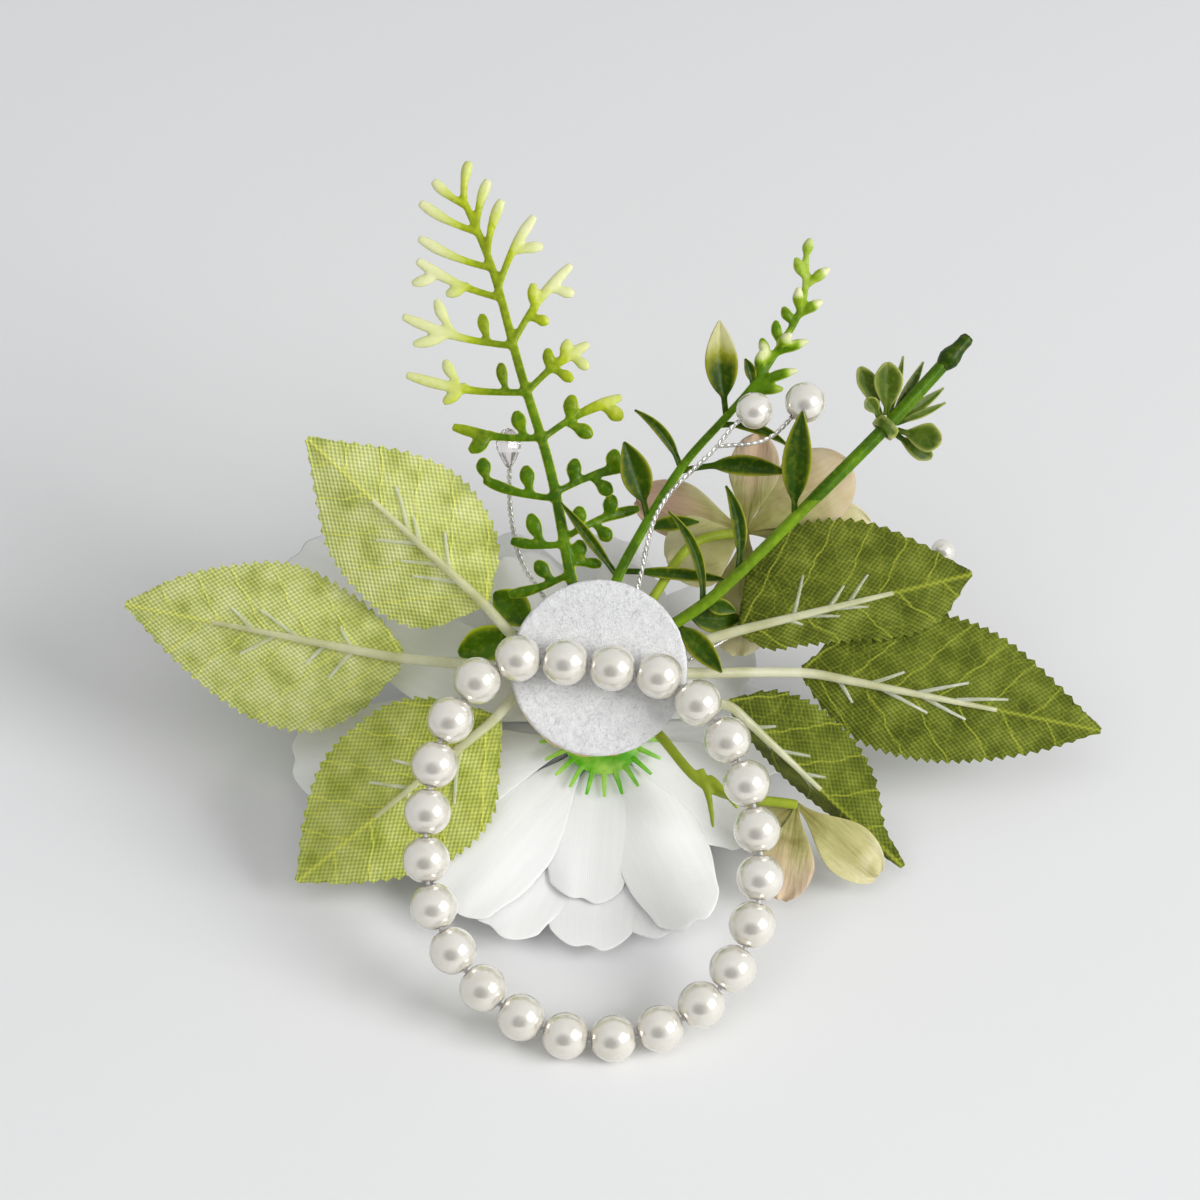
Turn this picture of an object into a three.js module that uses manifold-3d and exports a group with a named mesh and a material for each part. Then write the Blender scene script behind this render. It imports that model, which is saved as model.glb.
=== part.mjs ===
// A wrist corsage: a bracelet of imitation pearls on elastic, glued to a felt pad that carries a white
// silk flower, six woven leaves, moulded greenery and small pearl sprays.
// It lies on a table as it is put down: on the bracelet, the lower petals and two leaf tips, with the felt
// pad leaning back and facing the wrist side. Millimetres, +Z up.
//
// Inside the leaned group the pad's middle is the origin: x runs across the spray, y up it, and z towards
// the wrist.
import * as THREE from "three";
import { mergeVertices } from "three/addons/utils/BufferGeometryUtils.js";
import Module from "manifold-3d";

const wasm = await Module();
wasm.setup();

// Lean of the pad on the table, in degrees from lying flat with its wrist side up
const REST_LEAN = 45;

// Bracelet
const PEARL_COUNT = 24;
const PEARL_DIAMETER = 7.8;
const PEARL_SPACING = 0.2;
const PEARL_BORE = 2.2;
const ELASTIC_DIAMETER = 0.8;
const LOOP_LEAN = 6;
const ROW_SLOPE = -7;
const ROW_MIDDLE_X = -1.7;
const ROW_MIDDLE_Y = 0.6;
// The loop seen square on, from the middle of the straight row round to the right. The points are scaled so
// that the strung pearls fill the loop.
const LOOP_SHAPE = [
  [0, 0], [5, 0], [10, 0], [14, -1.4], [21, -6.2], [27, -14.6], [30.6, -25], [31.6, -35],
  [29, -45.5], [22.5, -54], [12.5, -58.8], [2, -59.4], [-8, -55.4], [-16, -48.4], [-21, -39],
  [-22.8, -28], [-22.4, -17], [-19.2, -7.2], [-14.4, -1.6], [-10, 0], [-5, 0],
];

// Felt pad and the glue behind it
const PAD_DIAMETER = 30;
const PAD_THICKNESS = 1.6;
const PAD_FIELD_DIAMETER = 19;
const GLUE_DIAMETER = 26;
const GLUE_DEPTH = 5;
const GLUE_WALL = 3.75;
const GLUE_BACK_DIAMETER = 22;
const SEAT_GAP = 0.3;
const STEM_STRAIGHT = 1.6;

// Flower
const CALYX_X = 1;
const CALYX_Y = -11;
const CALYX_NECK_DIAMETER = 7;
const CALYX_RIM_DIAMETER = 16;
const CALYX_TOOTH_LENGTH = 3.4;
const CALYX_TOOTH_COUNT = 16;
const CALYX_WALL = 0.5;
const CALYX_PEG_DIAMETER = 2.6;
const FLOWER_TURN = 12;
const FLOWER_LIFT = -10;
const PETAL_THICKNESS = 0.5;
const PETAL_HUB_STEP = 1;
const LOWER_PETAL_FLATTENING = 0.85;
const LOWER_PETAL_SHORTENING = 0.12;
const LEFT_PETAL_SPREAD = 0.3;
const PETAL_SLIT = 0.6;
const PETAL_WAVE = 0.9;
const PETAL_TABLE_STEP = 1.4;
const PETAL_BEND_SOFTNESS = 2.5;
const HEART_HEIGHT = 14;
const HEART_DIAMETER = 13;
// From the calyx inwards: the petals of a layer, how far they reach and rise, and where the first one points
const PETAL_LAYERS = [
  { petals: 9, reach: 36, rise: 13, turn: -95 },
  { petals: 9, reach: 42, rise: 24, turn: -75 },
  { petals: 7, reach: 36, rise: 28, turn: -65 },
  { petals: 5, reach: 26, rise: 26, turn: -85 },
];

// Woven leaves: where each stem leaves the glue (degrees), the blade's base and tip, its half widths on the
// upper and lower side at LEAF_STATIONS, how far each half folds back from flat (degrees), and the share of
// its length that carries the rib
const LEAF_THICKNESS = 0.5;
const LEAF_BOW = 3;
const LEAF_TOOTH_DEPTH = 0.7;
const LEAF_STEM_DIAMETER = 2;
const LEAF_RIB_END_DIAMETER = 0.9;
const LEAF_STATIONS = [0, 0.1, 0.25, 0.45, 0.65, 0.85, 1];
const LEAVES = [
  { name: "left_upper", exit: 162, base: [-19.3, 10.7, -3.5], tip: [-50.2, 39.2, -9],
    upper: [1, 8.5, 12.3, 13.7, 11, 5.6, 0.3], lower: [1, 10, 13.8, 14.2, 12.2, 6, 0.3],
    foldUpper: 12, foldLower: 16, rib: 0.62 },
  { name: "left_middle", exit: 180, base: [-33.9, 1.4, -8], tip: [-82.8, 10.7, -20],
    upper: [2, 6.5, 10.5, 13.1, 11, 6.6, 0.3], lower: [2, 10, 15.8, 16.6, 13, 6.8, 0.3],
    foldUpper: 10, foldLower: 14, rib: 0.67 },
  { name: "left_lower", exit: 198, base: [-17.3, -8.5, -3.2], tip: [-51.8, -36.8, -8],
    upper: [1, 8, 13.6, 15.1, 13.8, 7.7, 0.3], lower: [1, 6.5, 13, 14.6, 12.2, 6.5, 0.3],
    foldUpper: 14, foldLower: 10, rib: 0.6 },
  { name: "right_upper", exit: 14, base: [24.2, 6.4, -5.5], tip: [64.4, 16, -13],
    upper: [1, 10.5, 15.5, 15.9, 13.4, 7, 0.3], lower: [1, 5, 5.9, 7.4, 8.8, 7.4, 0.3],
    foldUpper: 14, foldLower: 25, rib: 0.65 },
  { name: "right_middle", exit: -4, base: [34.9, -0.7, -10], tip: [87.8, -11.4, -21],
    upper: [1, 8, 13.5, 15.1, 12.8, 6.5, 0.3], lower: [1, 6.5, 11, 12, 9.9, 5.5, 0.3],
    foldUpper: 10, foldLower: 16, rib: 0.64 },
  { name: "right_lower", exit: -22, base: [21.9, -5.9, -4], tip: [52.6, -34.7, -15],
    upper: [1, 7, 10.2, 11, 8.8, 3, 0.3], lower: [0.5, 3, 5.5, 6.5, 5, 3, 0.3],
    foldUpper: 12, foldLower: 66, rib: 0.52 },
];

// Moulded fern
const FERN_STEM_DIAMETER = 2;
const FERN_TIP_DIAMETER = 1.3;
const FERN_EXIT = 108;
const FERN_LOBE_WIDTH = 2.2;
const FERN_THICKNESS = 1.1;
const FERN_ROUTE = [[-8.2, 33.6, -4.5], [-13.4, 50.5, -6], [-18.5, 69.2, -8], [-23.4, 80.6, -9.5]];
// Each branch of the fern: the height on the stem where it grows, its reach, and its lobes, each with the
// share of the branch where it grows and its own reach
const FERN_BRANCHES = [
  { at: 80.2, reach: [0.9, 6.8, -0.5], lobes: [] },
  { at: 79.2, reach: [-5.7, 4.4, 0], lobes: [] },
  { at: 75.4, reach: [2, 8.4, -1], lobes: [] },
  { at: 74.6, reach: [-10.1, 5.2, 0], lobes: [] },
  { at: 71, reach: [2.5, 9.2, 0.5], lobes: [] },
  { at: 68.4, reach: [-12.7, 5.3, -0.5], lobes: [] },
  { at: 65, reach: [6.2, 12.4, 0], lobes: [[0.5, [4.6, 1, 0]]] },
  { at: 63.2, reach: [-14.5, 6.5, 0], lobes: [[0.38, [-4, -1.8, 0]], [0.7, [-5.2, -2, 0]]] },
  { at: 55.4, reach: [10, 13.6, -1], lobes: [[0.32, [3, -0.8, 0]], [0.4, [-0.5, 5, 0]], [0.68, [3.7, -0.8, 0]]] },
  { at: 55, reach: [-19, 5.1, 0], lobes: [[0.23, [-1, 4.4, 0]], [0.52, [-7.3, -2.4, 0]], [0.56, [-2.6, 5.2, 0]]] },
  { at: 47, reach: [10.6, 8.4, -1], lobes: [
    [0.4, [-0.6, 4.3, 0]], [0.45, [3.1, -1.8, 0]], [0.6, [0.8, 4.1, 0]], [0.72, [2.9, -2, 0]]] },
  { at: 47, reach: [-20.6, 3, 0], lobes: [[0.17, [-0.9, 4.6, 0]], [0.5, [-4, -3.3, 0]], [0.57, [-2.3, 3.9, 0]]] },
  { at: 39.2, reach: [-15.2, 1.9, 0], lobes: [[0.18, [-1.6, 4.3, 0]], [0.55, [-4, -3.4, 0]]] },
  { at: 39, reach: [13.6, 7.3, -2], lobes: [[0.34, [4, -2.1, 0]], [0.36, [0.4, 5, 0]], [0.75, [3.6, -2, 0]]] },
  { at: 29.8, reach: [14.4, 5, -3], lobes: [[0.22, [0.3, 4.8, 0]], [0.45, [3, -2.6, 0]], [0.66, [0.9, 4.2, 0]]] },
  { at: 28.8, reach: [-12.5, 3.2, 0], lobes: [[0.34, [-1, 4.6, 0]], [0.94, [-0.9, 4, 0]]] },
  { at: 22, reach: [12.8, 5.2, -4.5], lobes: [[0.22, [0, 4.4, 0]], [0.42, [2.6, -2.6, 0]], [0.6, [0.8, 4.4, 0]]] },
  { at: 21, reach: [-9.2, 0.6, 0], lobes: [[0.4, [-2.2, 5, 0]]] },
  { at: 17.6, reach: [5.6, 0, -1.6], lobes: [[0.4, [-0.2, 4.2, 0]]] },
  { at: 16, reach: [-10.4, -3.6, 0], lobes: [[0.28, [-2.8, 3.2, 0]]] },
];

// Moulded leafy sprig with a spike of buds
const SPRIG_STEM_DIAMETER = 2.2;
const SPRIG_TIP_DIAMETER = 1.3;
const SPRIG_EXIT = 80;
const SPRIG_LEAF_THICKNESS = 0.8;
const SPRIG_BUD_DIAMETER = 2.2;
const SPRIG_ROUTE = [
  [13.9, 33.9, -5], [21.6, 42.6, -5.6], [27, 48.8, -6], [31.7, 56.1, -6.8], [34.6, 60.8, -7.2],
  [35.6, 65.4, -7.6], [35.5, 70.2, -8],
];
// Each leaf of the sprig: the height on the stem where it grows, its tip's place, and its width
const SPRIG_LEAVES = [
  { at: 15.6, tip: [-6.4, 28, -1.2], width: 1.9 },
  { at: 16.4, tip: [22.4, 14.8, -4.6], width: 2.2 },
  { at: 23.6, tip: [17.2, 24.8, -4.8], width: 2.6 },
  { at: 25, tip: [4.3, 38.4, -1.6], width: 5.2 },
  { at: 33.4, tip: [32.2, 33.1, -3.4], width: 3.6 },
  { at: 34, tip: [6.1, 43.9, -3.4], width: 2 },
  { at: 41.4, tip: [32.4, 37.8, -5], width: 2 },
  { at: 42.8, tip: [20.6, 59.2, -4], width: 5.6 },
  { at: 48, tip: [25, 52.8, -5.6], width: 1.8 },
];
// Each bud of the spike: the height on the stem where it grows, and its tip's place
const SPRIG_BUDS = [
  { at: 46.8, tip: [31.6, 47.6, -6.4] },
  { at: 47.8, tip: [34, 50.8, -5.6] },
  { at: 49.4, tip: [27.9, 54.2, -5.2] },
  { at: 52.4, tip: [27.9, 56.4, -7] },
  { at: 53.2, tip: [35.8, 55.8, -6] },
  { at: 54, tip: [32.8, 57, -4.4] },
  { at: 55, tip: [30.3, 59.4, -6] },
  { at: 58.6, tip: [31.6, 61.8, -7.4] },
  { at: 59.8, tip: [38.4, 62.8, -7.6] },
  { at: 60.4, tip: [34.2, 65, -5.4] },
  { at: 65, tip: [39.6, 68.4, -8] },
  { at: 66.2, tip: [33.8, 70.2, -7] },
];

// Capped stem and the rosette threaded on it
const CAPPED_STEM_DIAMETER = 2.4;
const CAP_DIAMETER = 3.8;
const CAP_LENGTH = 6.5;
const CAPPED_EXIT = 30;
const CAPPED_ROUTE = [[20, 12.5, -1.6], [35.4, 27.5, -2.5], [49, 41, -5], [59.2, 52, -7]];
// Each leaf of the capped stem, as on the sprig
const CAPPED_LEAVES = [
  { at: 10.6, tip: [11.8, 26.6, -1.2], width: 2 },
  { at: 10.6, tip: [23.4, 9.4, -3], width: 2.8 },
  { at: 15.6, tip: [21.6, 31, -2.4], width: 2.6 },
  { at: 25.4, tip: [34.3, 43.2, 4.4], width: 5 },
];
const ROSETTE_HEIGHT = 41;
const ROSETTE_COLLAR_WALL = 0.9;
// Each leaf of the rosette: its reach from the collar's middle, and its width
const ROSETTE_LEAVES = [
  { reach: [-4.5, 10.3, 0.5], width: 3.2 },
  { reach: [0.2, 11, 2.2], width: 5 },
  { reach: [-3.4, 4.8, 1.6], width: 2.6 },
  { reach: [9.4, -2.2, 2], width: 4.6 },
  { reach: [8.2, -5.1, -2], width: 3 },
  { reach: [3.2, 12.4, -2], width: 1.6 },
  { reach: [6.8, 11.5, -3.4], width: 2 },
  { reach: [10.4, 7, -4], width: 2 },
  { reach: [10.6, 4.4, -2.6], width: 1.6 },
];

// Filler florets
const FLORET_STEM_DIAMETER = 1.8;
const FLORET_THICKNESS = 0.6;
const FLORET_HUB_RADIUS = 1.8;
// Each floret: where its stem leaves the glue, the stem's bend, its head and the side it faces, and its
// petals, each with its tip's place and its width
const FLORETS = [
  { name: "floret_upper", exit: 52, depth: -5, bend: [16, 21, -6.5], head: [25.4, 23.4, -11.4],
    facing: [0.15, 0.15, -0.97], petals: [
      { tip: [11.8, 17.8, -12], width: 13 }, { tip: [6.4, 29.4, -15], width: 10 },
      { tip: [27.7, 40.4, -14.4], width: 9 }, { tip: [43.8, 35, -15], width: 14 },
      { tip: [47.6, 24, -17.5], width: 11 },
    ] },
  { name: "floret_lower", exit: -48, depth: -4.5, bend: [19, -20.6, -4.4], head: [34, -23.6, -7],
    facing: [0.3, -0.3, -0.9], petals: [
      { tip: [31.2, -40.2, -9.6], width: 9.6 }, { tip: [48.4, -36.2, -12], width: 9.6 },
      { tip: [25.4, -28.4, -11], width: 8 },
    ] },
];

// Pearl sprays
const SPRAY_WIRE_DIAMETER = 0.9;
const SPRAY_PEARL_BORE = 1.6;
const SPRAY_EXIT = 64;
const SPRAY_BEND = [10.3, 27, 0.3];
const SPRAY_FORK = [20, 37.5, 0.5];
const SPRAY_ENDS = [
  { name: "spray_pearl_1", bend: [23, 41.2, 0.6], place: [26.4, 43.6, 0.2], diameter: 6.3 },
  { name: "spray_pearl_2", bend: [28.5, 38.8, 0.6], place: [35, 45, 0.2], diameter: 7 },
];
const SIDE_WIRE_EXIT = 4;
const SIDE_WIRE_FROM_BACK = 1.4;
const SIDE_WIRE_BENDS = [[28, 8, -14], [46, 15, -20]];
const SIDE_PEARL_PLACE = [60.3, 20, -22];
const SIDE_PEARL_DIAMETER = 4.4;
const CRYSTAL_EXIT = 128;
const CRYSTAL_FROM_BACK = 1.4;
const CRYSTAL_BENDS = [[-13.4, 18.5, -6.4], [-15.2, 27, -8]];
const CRYSTAL_PLACE = [-15.4, 34, -8.4];
const CRYSTAL_LENGTH = 7;
const CRYSTAL_DIAMETER = 4.4;

// Worked out from the values above
const PEARL_RADIUS = PEARL_DIAMETER / 2;
const PAD_FACE = PAD_THICKNESS / 2;
const GLUE_FRONT = -PAD_FACE - SEAT_GAP;
const GLUE_BACK = GLUE_FRONT - GLUE_DEPTH;
const lean = THREE.MathUtils.degToRad(REST_LEAN);
const heightOf = (p) => p.y * Math.sin(lean) + p.z * Math.cos(lean);

const corsage = new THREE.Group();
const leaned = new THREE.Group();
leaned.rotation.x = lean;
corsage.add(leaned);

const finishes = {
  pearl: new THREE.MeshStandardMaterial({ color: 0xf0e6d6, roughness: 0.25 }),
  elastic: new THREE.MeshStandardMaterial({ color: 0xe8e8e4, roughness: 0.3 }),
  felt: new THREE.MeshStandardMaterial({ color: 0xdcdcd8, roughness: 0.95 }),
  glue: new THREE.MeshStandardMaterial({ color: 0xe6d8b0, roughness: 0.35 }),
  silk: new THREE.MeshStandardMaterial({ color: 0xf6f5f1, roughness: 0.8 }),
  calyx: new THREE.MeshStandardMaterial({ color: 0x6fa63a, roughness: 0.5 }),
  leaf: new THREE.MeshStandardMaterial({ color: 0x8c9a4a, roughness: 0.75 }),
  rib: new THREE.MeshStandardMaterial({ color: 0xbfc48c, roughness: 0.35 }),
  fern: new THREE.MeshStandardMaterial({ color: 0x8fb04a, roughness: 0.5 }),
  sprig: new THREE.MeshStandardMaterial({ color: 0x6d8f3f, roughness: 0.5 }),
  floret: new THREE.MeshStandardMaterial({ color: 0xd2c4a8, roughness: 0.8 }),
  wire: new THREE.MeshStandardMaterial({ color: 0xdadada, roughness: 0.3 }),
  crystal: new THREE.MeshStandardMaterial({ color: 0xeadfe0, roughness: 0.05 }),
};

// A closed solid from points and triangles, turned so that its faces point out.
function solid(points, triangles) {
  let volume = 0;
  for (const [a, b, c] of triangles) {
    volume += points[a].dot(new THREE.Vector3().crossVectors(points[b], points[c]));
  }
  const facing = volume < 0 ? triangles.map(([a, b, c]) => [a, c, b]) : triangles;
  const geometry = new THREE.BufferGeometry().setFromPoints(points);
  geometry.setIndex(facing.flat());
  return geometry;
}

// A skin over rings of equally many points. Open ends are filled from the middle of the end ring.
function loft(rings, closed = false) {
  const size = rings[0].length;
  const points = rings.flat();
  const triangles = [];
  const spans = closed ? rings.length : rings.length - 1;
  for (let i = 0; i < spans; i++) {
    const here = i * size;
    const next = ((i + 1) % rings.length) * size;
    for (let j = 0; j < size; j++) {
      const k = (j + 1) % size;
      triangles.push([here + j, here + k, next + j], [here + k, next + k, next + j]);
    }
  }
  if (!closed) {
    for (const [ring, flip] of [[0, true], [rings.length - 1, false]]) {
      const middle = new THREE.Vector3();
      rings[ring].forEach((p) => middle.addScaledVector(p, 1 / size));
      points.push(middle);
      for (let j = 0; j < size; j++) {
        const a = ring * size + j;
        const b = ring * size + ((j + 1) % size);
        triangles.push(flip ? [points.length - 1, b, a] : [points.length - 1, a, b]);
      }
    }
  }
  return solid(points, triangles);
}

const vector = (p) => new THREE.Vector3(...p);
const taper = (from, to) => (t) => THREE.MathUtils.lerp(from, to, t) / 2;
const curveThrough = (points) => new THREE.CatmullRomCurve3(points, false, "centripetal");

// A round rod along a curve, its radius given at each share of the length.
function rod(curve, radiusAt, steps, sides, closed = false) {
  const frames = curve.computeFrenetFrames(steps, closed);
  const rings = [];
  for (let i = 0; i < (closed ? steps : steps + 1); i++) {
    const t = i / steps;
    const middle = curve.getPointAt(t);
    const ring = [];
    for (let j = 0; j < sides; j++) {
      const turn = (j / sides) * 2 * Math.PI;
      ring.push(middle.clone()
        .addScaledVector(frames.normals[i], radiusAt(t) * Math.cos(turn))
        .addScaledVector(frames.binormals[i], radiusAt(t) * Math.sin(turn)));
    }
    rings.push(ring);
  }
  return loft(rings, closed);
}

// Rings of a turned shape about an axis frame; shape(r, w, turn) may change radius and height.
function turned(profile, sides, frame, shape = (r, w) => [r, w]) {
  return loft(profile.map(([r, w]) => {
    const ring = [];
    for (let j = 0; j < sides; j++) {
      const turn = (j / sides) * 2 * Math.PI;
      const [radius, height] = shape(r, w, turn, j);
      const point = new THREE.Vector3(radius * Math.cos(turn), radius * Math.sin(turn), height);
      ring.push(point.applyMatrix4(frame));
    }
    return ring;
  }));
}

// A frame whose z axis points along a direction.
function frameAlong(origin, direction, upHint = new THREE.Vector3(0, 1, 0)) {
  const axis = direction.clone().normalize();
  const side = new THREE.Vector3().crossVectors(upHint, axis).normalize();
  const up = new THREE.Vector3().crossVectors(axis, side);
  return new THREE.Matrix4().makeBasis(side, up, axis).setPosition(origin);
}

// A flat moulded leaflet from one point to another, diamond in section. Each station of its form holds the
// share of its length, and its width and thickness there.
const LANCE = [[0, 0.4, 0.9], [0.55, 1, 1], [1, 0.2, 0.5]];
const CLUB = [[0, 0.6, 0.9], [0.4, 0.55, 0.9], [0.82, 1, 1], [1, 0.45, 0.6]];
const ROUND = [[0, 0.25, 1], [0.5, 0.95, 1], [0.8, 1, 1], [1, 0.45, 0.8]];
function leaflet(from, to, width, thickness, form = LANCE, facing = new THREE.Vector3(0, 0, 1)) {
  const along = to.clone().sub(from);
  const side = new THREE.Vector3().crossVectors(facing, along).normalize();
  const face = new THREE.Vector3().crossVectors(along, side).normalize();
  return loft(form.map(([t, wide, thick]) => {
    const middle = from.clone().addScaledVector(along, t);
    const w = (wide * width) / 2;
    const h = (thick * thickness) / 2;
    return [
      middle.clone().addScaledVector(side, w),
      middle.clone().addScaledVector(face, h),
      middle.clone().addScaledVector(side, -w),
      middle.clone().addScaledVector(face, -h),
    ];
  }));
}

// Where a stem that climbs the spray passes a height, as a share of its length.
function shareAtHeight(line, height) {
  let [low, high] = [0, 1];
  for (let i = 0; i < 24; i++) {
    const middle = (low + high) / 2;
    if (line.getPointAt(middle).y < height) low = middle;
    else high = middle;
  }
  return low;
}

// One moulding joined from several closed shapes.
function joined(geometries) {
  const solids = geometries.map((g) => {
    const merged = mergeVertices(g, 1e-4);
    return new wasm.Manifold(new wasm.Mesh({
      numProp: 3,
      vertProperties: new Float32Array(merged.attributes.position.array),
      triVerts: new Uint32Array(merged.index.array),
    }));
  });
  const mesh = solids.reduce((a, b) => a.add(b)).getMesh();
  const geometry = new THREE.BufferGeometry();
  geometry.setAttribute("position", new THREE.BufferAttribute(mesh.vertProperties, mesh.numProp));
  geometry.setIndex(new THREE.BufferAttribute(mesh.triVerts, 1));
  return geometry;
}

function addPiece(name, geometry, finish) {
  const mesh = new THREE.Mesh(geometry, finishes[finish]);
  mesh.name = name;
  leaned.add(mesh);
  return mesh;
}

// A stem's route from the glue's rim, clear of it by the seat gap, straight out at first and then through
// the given points.
function routeFromGlue(degrees, depth, points) {
  const turn = THREE.MathUtils.degToRad(degrees);
  const outward = new THREE.Vector3(Math.cos(turn), Math.sin(turn), 0);
  const exits = [0, STEM_STRAIGHT].map((run) =>
    outward.clone().multiplyScalar(GLUE_DIAMETER / 2 + SEAT_GAP + run).setZ(depth));
  return [...exits, ...points];
}

// Bracelet loop, with its straight row on the felt
const loopPoints = LOOP_SHAPE.map(([u, v]) => new THREE.Vector3(u, v, 0));
const loopLength = new THREE.CatmullRomCurve3(loopPoints, true, "centripetal").getLength();
const loopScale = (PEARL_COUNT * (PEARL_DIAMETER + PEARL_SPACING)) / loopLength;
const rowFrame = new THREE.Matrix4()
  .makeTranslation(ROW_MIDDLE_X, ROW_MIDDLE_Y, PAD_FACE + SEAT_GAP + PEARL_RADIUS)
  .multiply(new THREE.Matrix4().makeRotationZ(THREE.MathUtils.degToRad(ROW_SLOPE)))
  .multiply(new THREE.Matrix4().makeRotationX(-THREE.MathUtils.degToRad(LOOP_LEAN)));
const loop = new THREE.CatmullRomCurve3(
  loopPoints.map((p) => p.clone().multiplyScalar(loopScale).applyMatrix4(rowFrame)), true, "centripetal");
loop.arcLengthDivisions = 1200;
const ELASTIC_STEPS_PER_PEARL = 2;
addPiece("elastic_cord",
  rod(loop, () => ELASTIC_DIAMETER / 2, PEARL_COUNT * ELASTIC_STEPS_PER_PEARL, 6, true), "elastic");

// A bored pearl, turned about its bore.
function boredPearl(diameter, bore, arcs, sides, frame) {
  const radius = diameter / 2;
  const edge = Math.asin(bore / diameter);
  const profile = [];
  for (let i = 0; i <= arcs; i++) {
    const turn = edge + ((Math.PI - 2 * edge) * i) / arcs;
    profile.push([radius * Math.sin(turn), -radius * Math.cos(turn)]);
  }
  const rings = [];
  for (let j = 0; j < sides; j++) {
    const turn = (j / sides) * 2 * Math.PI;
    rings.push(profile.map(([r, w]) =>
      new THREE.Vector3(r * Math.cos(turn), r * Math.sin(turn), w).applyMatrix4(frame)));
  }
  return loft(rings, true);
}

let tableHeight = Infinity;
for (let i = 0; i < PEARL_COUNT; i++) {
  // Pearls 2 and 3 straddle the middle of the row.
  const share = (i - 1.5 + PEARL_COUNT) % PEARL_COUNT / PEARL_COUNT;
  const middle = loop.getPointAt(share);
  const frame = frameAlong(middle, loop.getTangentAt(share), new THREE.Vector3(0, 0, 1));
  const name = `pearl_${String(i + 1).padStart(2, "0")}`;
  addPiece(name, boredPearl(PEARL_DIAMETER, PEARL_BORE, 5, 10, frame), "pearl");
  tableHeight = Math.min(tableHeight, heightOf(middle) - PEARL_RADIUS);
}

// Felt pad, with the flat field where the row of pearls is glued
addPiece("felt_pad", turned([
  [PAD_DIAMETER / 2, -PAD_FACE],
  [PAD_DIAMETER / 2, PAD_FACE],
  [PAD_FIELD_DIAMETER / 2, PAD_FACE],
], 32, new THREE.Matrix4()), "felt");

// Glue body, domed at the back
addPiece("glue_pad", turned([
  [GLUE_DIAMETER / 2, GLUE_FRONT],
  [GLUE_DIAMETER / 2, GLUE_FRONT - GLUE_WALL],
  [GLUE_BACK_DIAMETER / 2, GLUE_BACK],
], 24, new THREE.Matrix4()), "glue");

// Flower: everything is turned about an axis that leaves the calyx away from the wrist
const turnAngle = THREE.MathUtils.degToRad(FLOWER_TURN);
const liftAngle = THREE.MathUtils.degToRad(FLOWER_LIFT);
const flowerAxis = new THREE.Vector3(
  -Math.sin(turnAngle), Math.sin(liftAngle), -Math.cos(turnAngle) * Math.cos(liftAngle));
const neckRadius = CALYX_NECK_DIAMETER / 2;
const calyxMiddle = new THREE.Vector3(CALYX_X, CALYX_Y, GLUE_BACK - SEAT_GAP - neckRadius);
const flowerFrame = frameAlong(calyxMiddle, flowerAxis);

// Bends a point of a petal that would pass the table gently onto it, with its layer's own step above it.
function restOnTable(point, step) {
  const floor = tableHeight + step;
  const over = (heightOf(point) - floor) / PETAL_BEND_SOFTNESS;
  const bent = floor + PETAL_BEND_SOFTNESS * Math.log(1 + Math.exp(over));
  point.z += (bent - heightOf(point)) / Math.cos(lean);
  return point;
}

const rimRadius = CALYX_RIM_DIAMETER / 2;
const pegRadius = CALYX_PEG_DIAMETER / 2;
const firstHub = neckRadius * 0.5 + 1.3;
const hubOf = (layer) => firstHub + layer * PETAL_HUB_STEP;
const pegTop = hubOf(PETAL_LAYERS.length - 1) + PETAL_THICKNESS + SEAT_GAP;
const rimHeight = firstHub - SEAT_GAP - CALYX_WALL;
addPiece("calyx", turned([
  [neckRadius * 0.5, -neckRadius * 0.85],
  [neckRadius * 0.9, -neckRadius * 0.4],
  [neckRadius, 0.2],
  [rimRadius, rimHeight - CALYX_WALL],
  [rimRadius + CALYX_TOOTH_LENGTH, rimHeight - CALYX_WALL / 2],
  [rimRadius, rimHeight],
  [pegRadius, rimHeight],
  [pegRadius, pegTop],
], 2 * CALYX_TOOTH_COUNT, flowerFrame, (r, w, turn, j) => [r > rimRadius && j % 2 ? rimRadius + 0.4 : r, w]),
"calyx");

// One silk layer: petals in one cut piece with a hole for the peg, cupped and waved towards the rim.
function petalLayer(index) {
  const { petals, reach, rise, turn: start } = PETAL_LAYERS[index];
  const hole = pegRadius + SEAT_GAP;
  const rows = 4;
  const steps = 6 * petals;
  const rings = [];
  for (let j = 0; j < steps; j++) {
    const turn = (j / steps) * 2 * Math.PI;
    const petalTurn = (petals * (turn - THREE.MathUtils.degToRad(start))) / 2;
    const outline = 1 - PETAL_SLIT + PETAL_SLIT * Math.abs(Math.cos(petalTurn)) ** 0.3;
    const down = Math.max(0, -Math.sin(turn)) ** 0.8;
    const left = Math.max(0, Math.cos(turn)) ** 3;
    const cup = rise * (1 - LOWER_PETAL_FLATTENING * down);
    const spread = reach * (1 - LOWER_PETAL_SHORTENING * down + LEFT_PETAL_SPREAD * left);
    const at = (row, lift) => {
      const share = row / rows;
      const r = hole + share * (spread * outline - hole);
      const flat = (r / spread) ** 1.4;
      const wave = PETAL_WAVE * (r / spread) ** 3 * Math.sin(3 * turn + 1);
      const w = hubOf(index) + cup * flat + wave + lift;
      const point = new THREE.Vector3(r * Math.cos(turn), r * Math.sin(turn), w).applyMatrix4(flowerFrame);
      const step = SEAT_GAP + (PETAL_LAYERS.length - index) * PETAL_TABLE_STEP - lift;
      return restOnTable(point, step);
    };
    const ring = [];
    for (let row = 0; row <= rows; row++) {
      ring.push(at(row, 0));
    }
    for (let row = rows; row >= 0; row--) {
      ring.push(at(row, PETAL_THICKNESS));
    }
    rings.push(ring);
  }
  return loft(rings, true);
}
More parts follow.
